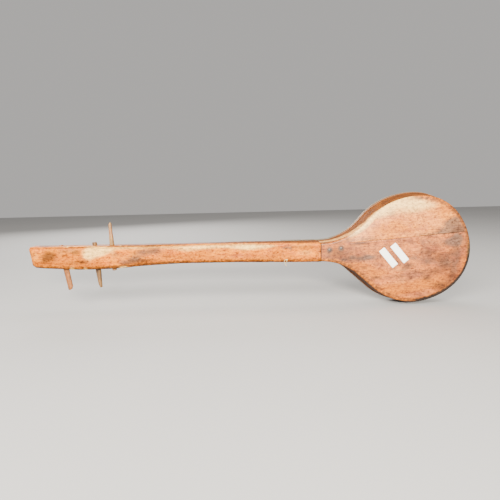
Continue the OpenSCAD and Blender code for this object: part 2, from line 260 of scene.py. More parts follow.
# The rim's painted shade over its lower half.
RIM_PAINTED_SHADE = (0.045, 0.014, 0.001, 1)
RAW_DARK = (0.17, 0.075, 0.024, 1)
BATTEN = (0.40, 0.22, 0.09, 1)
WALNUT = (0.085, 0.033, 0.014, 1)
WALNUT_DARK = (0.035, 0.015, 0.008, 1)
HIDE = (0.46, 0.38, 0.23, 1)
HIDE_TAN = (0.38, 0.27, 0.14, 1)
HIDE_DARK = (0.26, 0.18, 0.09, 1)
GRIME = (0.12, 0.095, 0.065, 1)
PALE_GUT = (0.72, 0.55, 0.28, 1)
AMBER_GUT = (0.55, 0.36, 0.12, 1)
STEEL = (0.085, 0.0723, 0.0638, 1)
OXIDE = (0.05, 0.034, 0.025, 1)
WHITE_PAPER = (0.97, 0.96, 0.90, 1)
OLD_PAPER = (0.75, 0.68, 0.50, 1)
FLOOR_PALE = (0.40, 0.395, 0.39, 1)
FLOOR_DARK = (0.36, 0.355, 0.35, 1)
WHITE = (1, 1, 1, 1)


class Shader:
    """A material, and short ways to add nodes. A value is a number, a colour or another node's socket."""

    def __init__(self, name):
        self.material = bpy.data.materials.new(name)
        self.material.use_nodes = True
        self.tree = self.material.node_tree
        self.surface = self.tree.nodes["Principled BSDF"]
        self.place = self.tree.nodes.new("ShaderNodeTexCoord").outputs["Object"]

    def put(self, socket, value):
        if isinstance(value, bpy.types.NodeSocket):
            self.tree.links.new(value, socket)
        elif value is not None:
            socket.default_value = value

    def add(self, kind, out=0, **inputs):
        node = self.tree.nodes.new(kind)
        for key, value in inputs.items():
            self.put(node.inputs[key.replace("_", " ")], value)
        return node.outputs[out]

    def stretch(self, scale, turn=(0, 0, 0), source=None):
        return self.add("ShaderNodeMapping", Vector=source or self.place, Scale=scale, Rotation=turn)

    def noise(self, size, detail=3.0, rough=0.55, twist=0.0, source=None):
        """Noise with features of about size metres."""
        return self.add(
            "ShaderNodeTexNoise",
            Vector=source or self.place,
            Scale=1 / size,
            Detail=detail,
            Roughness=rough,
            Distortion=twist,
        )

    def math(self, operation, a, b=None):
        node = self.tree.nodes.new("ShaderNodeMath")
        node.operation = operation
        self.put(node.inputs[0], a)
        self.put(node.inputs[1], b)
        return node.outputs[0]

    def scaled(self, value, factor, plus=None):
        """value * factor + plus."""
        product = self.math("MULTIPLY", value, factor)
        return product if plus is None else self.math("ADD", product, plus)

    def step(self, value, low, high):
        """0 at low and 1 at high, with a soft change between. low may be the larger."""
        node = self.tree.nodes.new("ShaderNodeMapRange")
        node.interpolation_type = "SMOOTHSTEP"
        self.put(node.inputs["Value"], value)
        node.inputs["From Min"].default_value = min(low, high)
        node.inputs["From Max"].default_value = max(low, high)
        node.inputs["To Min"].default_value = 0.0 if low < high else 1.0
        node.inputs["To Max"].default_value = 1.0 if low < high else 0.0
        return node.outputs[0]

    def mix(self, amount, a, b, mode="MIX"):
        node = self.tree.nodes.new("ShaderNodeMix")
        node.data_type = "RGBA"
        node.blend_type = mode
        self.put(node.inputs[0], amount)
        self.put(node.inputs[6], a)
        self.put(node.inputs[7], b)
        return node.outputs[2]

    def cover(self, body, colour, amount, share=None):
        """Lays a colour over the body where amount is high. share is the most that it hides."""
        return self.mix(amount if share is None else self.scaled(amount, share), body, colour)

    def ramp(self, value, stops):
        node = self.tree.nodes.new("ShaderNodeValToRGB")
        self.put(node.inputs[0], value)
        elements = node.color_ramp.elements
        while len(elements) < len(stops):
            elements.new(0.5)
        for element, (position, colour) in zip(elements, stops):
            element.position = position
            element.color = colour
        return node.outputs[0]

    def attribute(self, name):
        node = self.tree.nodes.new("ShaderNodeAttribute")
        node.attribute_name = name
        return node.outputs["Fac"]

    def bump(self, height, strength, distance=0.0003, onto=None):
        return self.add("ShaderNodeBump", Height=height, Strength=strength, Distance=distance, Normal=onto)

    def finish(self, colour, rough, bump, **more):
        inputs = {"Base_Color": colour, "Roughness": rough, "Normal": bump, **more}
        for key, value in inputs.items():
            self.put(self.surface.inputs[key.replace("_", " ")], value)
        return self.material


def add_grain(s, colour, depth=0.5, along="X"):
    """Adds bands, grain lines, specks and pores to a colour. Returns (colour, height of the grain)."""
    bend = s.add("ShaderNodeTexNoise", 1, Vector=s.place, Scale=14.0, Detail=1.0)
    wavy = s.mix(0.01, s.place, bend, "ADD")
    squeezes = {"X": (0.12, 0.24, 0.7), "Z": (0.08, 0.16, 0.45)}[along]
    long, medium, short = [
        s.stretch((n, 1, 1) if along == "X" else (1, 1, n), source=wavy) for n in squeezes
    ]
    bands = s.noise(0.006, 3, 0.6, 0.2, source=long)
    lines = s.noise(0.0018, 4, 0.65, source=long)
    specks = s.noise(0.0034, 5, 0.8, 0.3, source=short)
    pore = s.step(s.noise(0.0011, 3, 0.65, source=medium), 0.40, 0.30)
    for value, share, stops in (
        (bands, 1, [(0.34, DULL), (0.62, WHITE)]),
        (lines, 1, [(0.34, (0.46, 0.36, 0.30, 1)), (0.56, WHITE)]),
        (specks, 1.3, [(0.38, (0.22, 0.14, 0.10, 1)), (0.50, (0.84, 0.80, 0.76, 1)), (0.62, WHITE)]),
    ):
        colour = s.mix(depth * share, colour, s.ramp(value, stops), "MULTIPLY")
    colour = s.cover(colour, BROWN, pore, depth)
    return colour, s.math("SUBTRACT", s.scaled(lines, 0.5), s.scaled(pore, 0.6))


def worn(s, layer, size=0.008, spread=0.55):
    """A painted patch whose edge is broken up by noise."""
    paint_here = s.attribute(layer)
    speckle = s.math("SUBTRACT", s.noise(size, 4, 0.65, 0.4), 0.5)
    broken = s.step(s.scaled(speckle, spread, paint_here), 0.05, 0.75)
    return s.math("MULTIPLY", broken, s.step(paint_here, 0.0, 0.25))


def carved_wood(name, base, second, flecks, varnish):
    """Carved wood with worn varnish. Layers painted on the mesh say where it has painted highlights, painted
    shade, grey stains and so on.
    """
    s = Shader(name)
    clouds = s.step(s.noise(0.026, 4, 0.62, 0.6, source=s.stretch((0.6, 1, 1))), 0.38, 0.64)
    rosy = s.step(s.noise(0.011, 4, 0.65, 0.5, source=s.stretch((0.6, 1, 1), (0.2, 0.4, 0.1))), 0.46, 0.68)
    blotch = s.step(s.noise(0.0065, 4, 0.65, 0.4, source=s.stretch((0.5, 1, 1))), 0.56, 0.72)
    body = s.cover(s.mix(clouds, base, second), PINK, rosy, 0.6)
    body = s.cover(body, ROSE_BROWN, blotch, flecks)
    # A painted highlight in cream, its edge broken up by noise.
    painted_highlight = s.attribute("painted_highlight")
    glow = s.step(s.scaled(s.noise(0.007, 5, 0.75), 0.7, painted_highlight), 0.35, 1.5)
    glow = s.math("MULTIPLY", glow, s.step(painted_highlight, 0.0, 0.6))
    body = s.cover(body, CREAM, glow)
    # dim darkens the colour: painted shade on the back's lower right, and darker near the neck joint.
    body = s.cover(body, s.mix(1.0, body, DULL, "MULTIPLY"), s.attribute("dim"))
    body = s.cover(body, ORANGE, worn(s, "orange"))
    body = s.cover(body, GREY_BROWN, worn(s, "grey"), 0.85)
    body = s.cover(body, BROWN, worn(s, "brown", 0.005), 0.85)
    rusty = s.step(s.noise(0.005, 4, 0.6), 0.35, 0.6)
    # edge lays orange along the edges: the varnish's own colour, and on the neck also painted shade on its
    # sides and towards its lower edge.
    body = s.cover(body, s.mix(rusty, ORANGE, RUST), worn(s, "edge", 0.006))
    # shade lays near-black: painted shade, and on the boards also the dirt in the seam.
    body = s.cover(body, SHADE_AND_JOINT_BLACK, worn(s, "shade", 0.004))
    body = s.cover(body, CREAM, s.attribute("bare"))
    body = s.cover(body, s.mix(rusty, FRONT_PALE, FRONT_DARK), s.attribute("front"))
    x = s.add("ShaderNodeSeparateXYZ", "X", Vector=s.place)
    joint = s.step(s.math("ABSOLUTE", s.math("SUBTRACT", x, HEEL_X * MM)), 0.0016, 0.0004)
    body = s.cover(body, SHADE_AND_JOINT_BLACK, joint, 0.8)
    colour, height = add_grain(s, body, 0.7)
    # More painted highlight, laid over the grain.
    colour = s.cover(colour, CREAM, glow, 0.2)
    rough = s.scaled(s.noise(0.012, 4, 0.6), 0.3, 0.3)
    bump = s.bump(height, 0.3, 0.0003, s.bump(s.noise(0.006, 3, 0.5), 0.2, 0.0006))
    return s.finish(colour, rough, bump, Specular_IOR_Level=varnish)


def rim_wood():
    s = Shader("rim_wood")
    body = s.mix(s.step(s.noise(0.02, 4, 0.6, 0.5), 0.35, 0.68), RIM_PALE, RIM_DARK)
    body = s.cover(body, WALNUT, s.step(s.noise(0.012, 4, 0.6), 0.5, 0.72), 0.7)
    # Painted shade over the rim's lower half.
    body = s.cover(body, RIM_PAINTED_SHADE, s.attribute("low"), 0.75)
    # A painted highlight in peach and cream on the rim's back corner near the neck.
    body = s.cover(body, s.mix(s.noise(0.006, 4, 0.6), PEACH, CREAM), s.attribute("rubbed"))
    colour, height = add_grain(s, body)
    rough = s.scaled(s.noise(0.015, 3, 0.5), 0.3, 0.45)
    return s.finish(colour, rough, s.bump(height, 0.4), Specular_IOR_Level=0.1)


def plain_wood(name, pale, dark, rough, depth):
    """Unvarnished or dark wood with its grain along Z."""
    s = Shader(name)
    clouds = s.step(s.noise(0.008, 4, 0.65, 0.4, source=s.stretch((1, 1, 0.3))), 0.36, 0.66)
    colour, height = add_grain(s, s.mix(clouds, pale, dark), depth, "Z")
    return s.finish(colour, rough, s.bump(height, 0.5, 0.0004))


def parchment():
    """Dried skin: pale, mottled and slightly waxy, with darker follicles and a grubby edge."""
    s = Shader("parchment")
    clouds = s.step(s.noise(0.035, 5, 0.6, 0.5), 0.35, 0.68)
    veins = s.step(s.noise(0.012, 5, 0.7, 1.2), 0.6, 0.72)
    body = s.cover(s.mix(clouds, HIDE, HIDE_TAN), HIDE_DARK, veins, 0.35)
    body = s.cover(body, GRIME, worn(s, "edge", 0.01))
    body = s.cover(body, s.mix(s.noise(0.008, 3, 0.6), RUST, BROWN), worn(s, "stain", 0.006, 0.3))
    body = s.cover(body, HIDE_DARK, s.step(s.noise(0.0007, 2, 0.5), 0.36, 0.28))
    bump = s.bump(s.noise(0.0012, 4, 0.6), 0.25, 0.0002, s.bump(s.noise(0.02, 3, 0.5), 0.3, 0.001))
    rough = s.scaled(clouds, 0.15, 0.42)
    return s.finish(body, rough, bump, Subsurface_Weight=0.08, Subsurface_Radius=(0.004, 0.002, 0.001))


def gut():
    s = Shader("gut")
    body = s.mix(s.noise(0.01, 3, 0.5), PALE_GUT, AMBER_GUT)
    turned = s.stretch((1, 1, 1), (0, 0.6, 0.4))
    twist = s.add("ShaderNodeTexWave", 1, Vector=turned, Scale=900.0, Distortion=1.0)
    return s.finish(body, 0.4, s.bump(twist, 0.4, 0.0001), Subsurface_Weight=0.1)


def nail_iron():
    s = Shader("nail_iron")
    rust = s.step(s.noise(0.0016, 4, 0.65, 0.5), 0.46, 0.68)
    bump = s.bump(s.noise(0.0008, 3, 0.6), 0.5, 0.0002)
    metal = s.math("SUBTRACT", 0.6, s.scaled(rust, 0.5))
    return s.finish(s.mix(rust, STEEL, OXIDE), s.scaled(rust, 0.35, 0.4), bump, Metallic=metal)


def paper():
    """Blank paper labels, a little yellowed, with fibres."""
    s = Shader("paper")
    fibres = s.noise(0.0006, 4, 0.7, 0.8)
    body = s.cover(WHITE_PAPER, OLD_PAPER, s.step(s.noise(0.008, 3, 0.6), 0.45, 0.8), 0.5)
    body = s.cover(body, OLD_PAPER, s.step(fibres, 0.45, 0.3), 0.3)
    return s.finish(body, 0.75, s.bump(fibres, 0.25, 0.0001))


def floor_material():
    s = Shader("floor")
    body = s.mix(s.noise(0.4, 3, 0.5), FLOOR_DARK, FLOOR_PALE)
    return s.finish(body, 0.85, s.bump(s.noise(0.003, 3, 0.5), 0.05))


NECK_WOOD = carved_wood("neck_wood", HONEY, AMBER, 0.45, 0.08)
LOWER_WOOD = carved_wood("lower_board_wood", PEACH, ROSE_BROWN, 0.7, 0.35)
UPPER_WOOD = carved_wood("upper_board_wood", GOLD, AMBER, 0.3, 0.4)
RIM_WOOD = rim_wood()
PEG_WOOD = {
    "outer": plain_wood("peg_outer_wood", (0.40, 0.14, 0.02, 1), (0.23, 0.08, 0.014, 1), 0.6, 0.5),
    "middle": plain_wood("peg_middle_wood", (0.29, 0.14, 0.025, 1), (0.065, 0.03, 0.01, 1), 0.6, 0.5),
    "inner": plain_wood("peg_inner_wood", (0.35, 0.20, 0.055, 1), (0.36, 0.145, 0.05, 1), 0.6, 0.5),
}
BATTEN_WOOD = plain_wood("batten_wood", BATTEN, RAW_DARK, 0.65, 0.5)
DARK_WOOD = plain_wood("dark_wood", WALNUT, WALNUT_DARK, 0.42, 0.4)
PARCHMENT = parchment()
GUT_MATERIAL = gut()
IRON = nail_iron()
PAPER = paper()


# ---- Painted patches ----

# Each patch is (x, height above the axis, half length, half height, strength).
# In all three tables the patches in cream are painted highlights.
NECK_PATCHES = {
    "painted_highlight": (
        (-272, 9, 10, 8, 1.2), (-258, 8, 11, 8, 1.1), (-246, 11, 12, 6, 0.8), (-276, 1, 11, 8, 0.8),
        (-322, 6, 9, 7, 0.35), (-304, 11, 16, 5, 0.4), (-215, 14, 40, 2.2, 0.6), (-366, 2, 7, 12, 0.35),
        (-150, 13, 50, 2.2, 0.35), (-60, 12, 50, 3.5, 0.6), (0, 10, 26, 5, 0.9), (34, 12, 16, 2.6, 0.5),
        (-105, 8, 30, 5, 0.5), (95, 0, 16, 6, 0.4), (-232, 2, 9, 9, 0.3),
    ),
    "orange": (
        (-346, -12, 34, 8, 1.0), (-300, -17, 44, 5, 1.0), (-318, 4, 14, 9, 0.7), (-262, -8, 12, 9, 0.5),
        (-112, -3, 26, 3, 0.9), (-95, -7, 40, 3.5, 0.9), (48, -1, 9, 10, 0.8), (67, -6, 8, 6, 0.9),
        (30, -8, 24, 4, 0.6), (-165, -9, 34, 4, 0.6), (-30, -10, 40, 3, 0.5), (100, -9, 20, 3, 0.5),
        (-120, 18, 90, 2.4, 0.7), (-290, -7, 12, 6, 0.6), (-85, 1, 12, 7, 0.6), (-150, 0, 14, 6, 0.5),
        (0, 18, 60, 2, 0.5),
    ),
    "grey": (
        (-188, 5, 15, 7, 0.5), (-170, 6, 13, 7, 0.5), (-155, 7, 12, 6, 0.45), (-197, -6, 12, 6, 0.7),
        (-215, -11, 12, 5, 0.5), (-226, 3, 14, 6, 0.35), (62, 9, 8, 2, 0.7), (70, 6, 2.5, 4, 0.6),
        (57, 0, 2, 7, 0.5), (40, -6, 2, 6, 0.4), (80, 11, 20, 3, 0.4), (118, 4, 8, 14, 0.3),
    ),
    "brown": (
        (-341, 3, 12, 10, 0.75), (-297, 8, 10, 5, 0.65), (-286, -9, 13, 4, 0.7), (-352, -3, 8, 10, 0.4),
        # The first patch on the next line, at height 16.4, is a painted shadow line just under the head's
        # top side.
        (-290, 16.4, 44, 0.9, 0.7), (-308, -10, 12, 5, 0.4), (-182, -9, 24, 3.5, 0.65),
        (95, 10, 24, 2.2, 0.6), (-140, -1, 14, 4, 0.35), (-210, -13, 20, 3, 0.5),
    ),
}
UPPER_PATCHES = {
    "painted_highlight": (
        (208, 62, 18, 8, 0.9), (226, 73, 18, 8, 1.0), (251, 80, 22, 9, 1.0), (276, 80, 18, 10, 0.95),
        (336, 58, 12, 9, 0.25), (302, 76, 20, 9, 0.5), (240, 62, 24, 7, 0.3), (275, 66, 24, 8, 0.35),
        (190, 48, 14, 6, 0.5),
    ),
    "orange": (
        (350, 64, 9, 12, 0.6), (366, 34, 5, 14, 0.4), (328, 66, 14, 8, 0.5), (250, 36, 30, 8, 0.5),
        (205, 30, 20, 6, 0.4),
    ),
    "grey": (
        (350, 45, 14, 11, 1.0), (336, 45, 10, 6, 0.5), (343, 30, 22, 6, 1.1), (298, 26, 24, 4.5, 0.45),
        (240, 64, 9, 8, 0.3), (362, 50, 7, 14, 0.7), (340, 34, 26, 10, 0.4),
    ),
    "brown": (
        (200, 21, 24, 4, 0.5), (168, 18, 12, 4, 0.5), (352, 32, 12, 5, 0.5), (318, 36, 16, 6, 0.3),
        (262, 30, 14, 5, 0.3),
    ),
}
LOWER_PATCHES = {
    "painted_highlight": (
        (330, 6, 12, 5, 0.25), (262, -52, 18, 5, 0.3), (255, -33, 24, 6, 0.3), (372, 0, 4, 26, 0.35),
    ),
    "orange": (
        (302, -57, 20, 8, 0.9), (365, -26, 4, 20, 0.5), (325, -46, 18, 5, 0.5), (215, -38, 24, 9, 0.8),
        (240, -72, 30, 7, 0.9), (262, -64, 40, 9, 0.9), (330, -62, 18, 10, 0.4), (192, -26, 16, 6, 0.9),
        (140, 2, 20, 12, 0.6), (176, -24, 14, 5, 0.8),
    ),
    "grey": (
        (351, 18, 10, 11, 1.0), (338, 12, 14, 7, 0.8), (300, 15, 22, 6, 0.4), (174, -10, 7, 5, 0.8),
        (189, -12, 8, 4.5, 0.8), (204, -10, 10, 5, 0.8), (159, -14, 7, 5, 0.7), (277, -14, 12, 4, 0.5),
        (354, -8, 8, 20, 0.35), (332, -22, 16, 12, 0.55), (300, -20, 16, 6, 0.5),
        (350, -34, 10, 14, 0.35), (230, 8, 20, 4, 0.3), (134, 0, 6, 12, 0.4),
    ),
    "brown": (
        (324, -13, 16, 8, 0.45), (334, -27, 14, 9, 0.4), (320, -38, 15, 8, 0.45), (268, -28, 10, 4, 0.5),
        (303, -49, 9, 5, 0.7), (182, -12, 22, 9, 0.4), (240, -46, 17, 4, 0.35), (258, -44, 15, 4, 0.35),
        (290, -38, 19, 5, 0.45), (189, 14, 17, 3, 0.8), (146, -2, 24, 9, 0.5), (194, -28, 6, 3, 0.7),
        (215, -46, 9, 3, 0.7), (275, -24, 24, 4, 0.35), (348, -2, 12, 12, 0.4), (345, -46, 10, 12, 0.5),
        (218, -22, 14, 5, 0.4), (300, -4, 26, 5, 0.35), (326, -63, 20, 8, 0.6), (168, 8, 14, 6, 0.4),
    ),
}


def paint(points, patches, near):
    """How strongly each patch's colour covers each point on a back face at depth near."""
    x, z = points[:, 0], points[:, 2] - AXIS_Z
    facing = smooth((near + 9 - points[:, 1]) / 4)
    layers = {}
    for name, spots in patches.items():
        cover = np.zeros(len(points))
        for spot_x, spot_z, long, tall, strength in spots:
            cover += strength * np.exp(-(((x - spot_x) / long) ** 2) - ((z - spot_z) / tall) ** 2)
        layers[name] = np.minimum(cover, 1.2) * facing
    return layers


# ---- Ways to make meshes ----


def make_mesh(name, points, faces, flat=True, merge=False, **layers):
    """A mesh from points in millimetres, with painted layers. merge joins points that coincide."""
    mesh = bpy.data.meshes.new(name)
    mesh.from_pydata([tuple(p) for p in np.asarray(points) * MM], [], faces)
    for key, values in layers.items():
        layer = mesh.attributes.new(key, "FLOAT", "POINT")
        layer.data.foreach_set("value", np.asarray(values, np.float32))
    work = bmesh.new()
    work.from_mesh(mesh)
    if merge:
        bmesh.ops.remove_doubles(work, verts=work.verts, dist=1e-6)
    bmesh.ops.recalc_face_normals(work, faces=work.faces)
    for face in work.faces:
        face.smooth = not flat
    work.to_mesh(mesh)
    work.free()
    return mesh


def make_piece(name, points, faces, material, slot, node, body=ROOT, flat=False, **layers):
    """A mesh piece that rides on a body and stands for a CAD node."""
    mesh = make_mesh(name, points, faces, flat, True, **layers)
    mesh.materials.append(material)
    piece = place_object(name, mesh)
    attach(piece, body)
    if node:
        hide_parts(node)
    return piece


def apply_modifiers(piece):
    """Makes a piece's modifiers part of its mesh."""
    graph = bpy.context.evaluated_depsgraph_get()
    mesh = bpy.data.meshes.new_from_object(piece.evaluated_get(graph))
    piece.modifiers.clear()
    piece.data = mesh


def round_edges(piece, width, angle):
    """Bevels the edges that are sharper than angle degrees."""
    bevel = piece.modifiers.new("bevel", "BEVEL")
    bevel.width = width * MM
    bevel.segments = 2
    bevel.angle_limit = radians(angle)
    apply_modifiers(piece)


def thicken(piece, thickness, offset):
    """Makes a sheet solid: on both sides if offset is 0, and inwards if it is -1."""
    thick = piece.modifiers.new("thick", "SOLIDIFY")
    thick.thickness = thickness * MM
    thick.offset = offset
    apply_modifiers(piece)


def grid_faces(rows, columns, close_rows=False, close_columns=False):
    """Four-sided faces over a grid of points stored row by row."""
    faces = []
    for i in range(rows if close_rows else rows - 1):
        for j in range(columns if close_columns else columns - 1):
            a, b = i * columns, ((i + 1) % rows) * columns
            k = (j + 1) % columns
            faces.append((a + j, a + k, b + k, b + j))
    return faces


def sleeve_faces(rings, sides):
    """The faces over rings of points, with a cap on the first ring and on the last."""
    caps = [tuple(range(sides)), tuple(range((rings - 1) * sides, rings * sides))]
    return grid_faces(rings, sides, False, True) + caps


def tube(path, radius, sides=10, closed=False):
    """Points and faces of a round tube along a path."""
    path = np.asarray(path, float)
    count = len(path)
    ahead = np.roll(path, -1, 0)
    behind = np.roll(path, 1, 0)
    if not closed:
        ahead[-1], behind[0] = path[-1], path[0]
    along = ahead - behind
    along /= np.linalg.norm(along, axis=1)[:, None]
    side = np.cross(along[0], (0.31, 0.17, 0.93))
    points = []
    for k in range(count):
        side = side - along[k] * side.dot(along[k])
        side /= np.linalg.norm(side)
        other = np.cross(along[k], side)
        for a in np.linspace(0, 2 * pi, sides, endpoint=False):
            points.append(path[k] + radius * (cos(a) * side + sin(a) * other))
    return points, grid_faces(count, sides, True, True) if closed else sleeve_faces(count, sides)


def join_parts(parts):
    """One list of points and faces from several."""
    points, faces = [], []
    for more_points, more_faces in parts:
        start = len(points)
        points.extend(more_points)
        faces.extend(tuple(start + k for k in face) for face in more_faces)
    return points, faces


def soft_path(points, steps=8):
    """A smooth curve through points, with steps pieces between each two."""
    p = [np.asarray(q, float) for q in points]
    p = [2 * p[0] - p[1]] + p + [2 * p[-1] - p[-2]]
    out = []
    for a, b, c, d in zip(p, p[1:], p[2:], p[3:]):
        bend, twist = 2 * a - 5 * b + 4 * c - d, 3 * b - a - 3 * c + d
        for t in np.linspace(0, 1, steps, endpoint=False):
            out.append(0.5 * (2 * b + (c - a) * t + bend * t**2 + twist * t**3))
    out.append(p[-2])
    return out


def resample(line, count):
    """A line of points as count points at even steps along it."""
    gaps = np.r_[0, np.cumsum(np.linalg.norm(np.diff(line, axis=0), axis=1))]
    at = np.linspace(0, gaps[-1], count)
    return np.stack([np.interp(at, gaps, line[:, k]) for k in range(line.shape[1])], 1)


def at_depth(line, y):
    """Points in space from rows of [x, height above the axis]. y is one depth, or one for each row."""
    return np.column_stack([line[:, 0], np.broadcast_to(y, len(line)), AXIS_Z + line[:, 1]])


# ---- Outlines ----


def half_outline(depth, inset, side):
    """Half of the body's outline, from its tail to the neck joint, as rows of [x, height above the axis].

    depth is 0 at the front and 1 at the back.
    """
    bulb = BULB - SKIN - FLARE * depth - inset
    flank = FLANK - SKIN - FLARE * depth - inset
    half = HALF[side] - inset
    angle = FLANK_ANGLE[side]
    reach = BULB_X - HEEL_X
    both = (reach - (bulb - half) / tan(angle)) / (sin(angle) - (1 - cos(angle)) / tan(angle))
    waist = both - flank
    a = np.linspace(0, pi / 2, 49)
    r = bulb + OUT_OF_ROUND * np.cos(4 * (side * a - radians(67.5)))
    end = np.stack([BULB_X + r * np.cos(a), r * np.sin(a)], 1)
    t = np.linspace(0, 1, 25)[1:]
    a = pi / 2 + angle * t
    r = flank + OUT_OF_ROUND * np.cos(4 * (side * a - radians(67.5))) * (1 - t)
    shoulder = np.stack([BULB_X + r * np.cos(a), bulb - flank + r * np.sin(a)], 1)
    a = np.linspace(angle - pi / 2, -pi / 2, 33)[1:]
    curve = np.stack([HEEL_X + waist * np.cos(a), half + waist + waist * np.sin(a)], 1)
    out = np.vstack([end, shoulder, curve])
    out[:, 1] *= side
    return out


def outline(depth, inset):
    """The body's whole outline, from the top of the neck joint round the tail to its bottom."""
    return np.vstack([half_outline(depth, inset, 1)[::-1], half_outline(depth, inset, -1)[1:]])


def upper_edge(x):
    """How far the neck and head reach above the axis at x."""
    return HALF[1] + HEAD_RISE * ((HEEL_X - x) / (HEEL_X - TIP_X)) ** 2


def lower_edge(x):
    """How far the neck and head reach below the axis at x."""
    t = (x - BELLY_X) / np.where(x < BELLY_X, BELLY_REACH[0], BELLY_REACH[1])
    return HALF[-1] + np.where(np.abs(t) < 1, HEAD_BELLY * (1 + np.cos(pi * t)) / 2, 0)


def thickness(x):
    """Thickness of the neck and head at x, without the curve at the tip."""
    return (
        NECK_THICK
        + (FRONT_Y - BACK_Y - NECK_THICK) * smooth((x + 50) / (HEEL_X + 50))
        + (HEAD_THICK - NECK_THICK) * smooth((-165 - x) / 60)
    )


# ---- The neck and head ----


def neck_section(x):
    """One ring round the neck at distance x: [depth, height above the axis, nearness to an edge]."""
    upper, lower = float(upper_edge(x)), float(lower_edge(x))
    near = FRONT_Y - float(thickness(x))
    from_tip = x - TIP_X
    if from_tip < TIP_CURVE[0]:
        near += TIP_CURVE[1] * (1 - sqrt(1 - (1 - from_tip / TIP_CURVE[0]) ** 2))
    bites = [r - sqrt(r**2 - (r - from_tip) ** 2) if from_tip < r else 0 for r in TIP_CORNERS]
    upper -= bites[0]
    lower -= bites[1]
    carved = 1 - float(smooth((x - 20) / 45))
    cut = 1.2 + (1.6 + 2.6 * float(smooth((x + 300) / 90) * smooth((-70 - x) / 90))) * carved
    # Each corner's depth and height, its signs, and how tall and how deep its rounding is
    corners = (
        (near, upper, 1, 1, cut, cut * 1.25),
        (FRONT_Y, upper, -1, 1, 1.2, 1.4),
        (FRONT_Y, -lower, -1, -1, 1.2, 1.4),
        (near, -lower, 1, -1, cut * 0.9, cut * 1.3),
    )
    ring = []
    for k, (y, z, into_y, up, tall, deep) in enumerate(corners):
        arc = np.linspace(0, pi / 2, CORNER_STEPS)
        for a in arc[::-1] if k % 2 else arc:
            round_y = (1 - abs(sin(a)) ** 1.35) * deep
            round_z = (1 - abs(cos(a)) ** 1.35) * tall
            lean = abs(a - pi / 4) / (pi / 4)
            ring.append((y + into_y * (deep - round_y), z - up * (tall - round_z), 1 - lean**2))
        start = np.array(ring[-1][:2])
        stop_y, stop_z, into_y, up, tall, deep = corners[(k + 1) % 4]
        stop = np.array((stop_y, stop_z - up * tall) if k % 2 else (stop_y + into_y * deep, stop_z))
        for t in np.linspace(0, 1, SIDE_STEPS + 1)[1:-1]:
            y, z = start + (stop - start) * t
            gap = min(t, 1 - t) * np.linalg.norm(stop - start)
            ring.append((y, z, 0.75 * max(0, 1 - gap / 4)))
    return np.array(ring)


def neck_rings():
    """Rings from the tip to the joint, and how near each of their points is to an edge."""
    xs = np.r_[
        TIP_X + TIP_CURVE[0] * (1 - np.cos(np.linspace(0, pi / 2, 16))),
        np.arange(TIP_X + TIP_CURVE[0] + 2.5, HEEL_X - 1, 2.5),
        HEEL_X - 0.4,
        HEEL_X,
    ]
    top, bottom = upper_edge(TIP_X), lower_edge(TIP_X)
    rings, edges = [], []
    for x in xs:
        ring = neck_section(x)
        lean = TIP_SLANT * (top - ring[:, 1]) / (top + bottom) * (1 - smooth((x - TIP_X) / 30))
        rings.append(np.column_stack([x + lean, ring[:, 0], AXIS_Z + ring[:, 1]]))
        edges.append(ring[:, 2])
    rings[-1][:, 1:] += (np.array([(BACK_Y + FRONT_Y) / 2, AXIS_Z]) - rings[-1][:, 1:]) * 0.02
    return rings, np.concatenate(edges)


def carve_rings(rings):
    """The rings' points, moved in and out by the knife, and a little fuller below the axis."""
    points = np.vstack(rings)
    outward = points - np.repeat([r.mean(0) for r in rings], len(rings[0]), 0)
    outward[:, 0] = 0
    outward /= np.linalg.norm(outward, axis=1)[:, None] + 1e-9
    carve = wobble(points / (2.2, 1, 1), 22, 0.35, 1) + wobble(points / (1.4, 1, 1), 7, 0.12, 2) - 0.1
    carve += 0.7 * smooth((AXIS_Z - points[:, 2]) / 12) * smooth((40 - points[:, 0]) / 20)
    keep = smooth((HEEL_X - points[:, 0]) / 8)
    return points + outward * (carve * keep)[:, None]


def close_ends(points, count, last):
    """Points and faces of a sleeve of rings, with two smaller rings and a cap in each end."""
    faces = grid_faces(last + 1, count, False, True)
    for ring in (0, last):
        outer = points[ring * count : (ring + 1) * count]
        hub = outer.mean(0)
        start = len(points)
        points = np.vstack([points] + [hub + (outer - hub) * shrink for shrink in (0.75, 0.4)])
        firsts = (ring * count, start, start + count)
        for a, b in zip(firsts, firsts[1:]):
            for j in range(count):
                k = (j + 1) % count
                faces.append((a + j, a + k, b + k, b + j))
        faces.append(tuple(range(start + count, start + 2 * count)))
    return points, faces


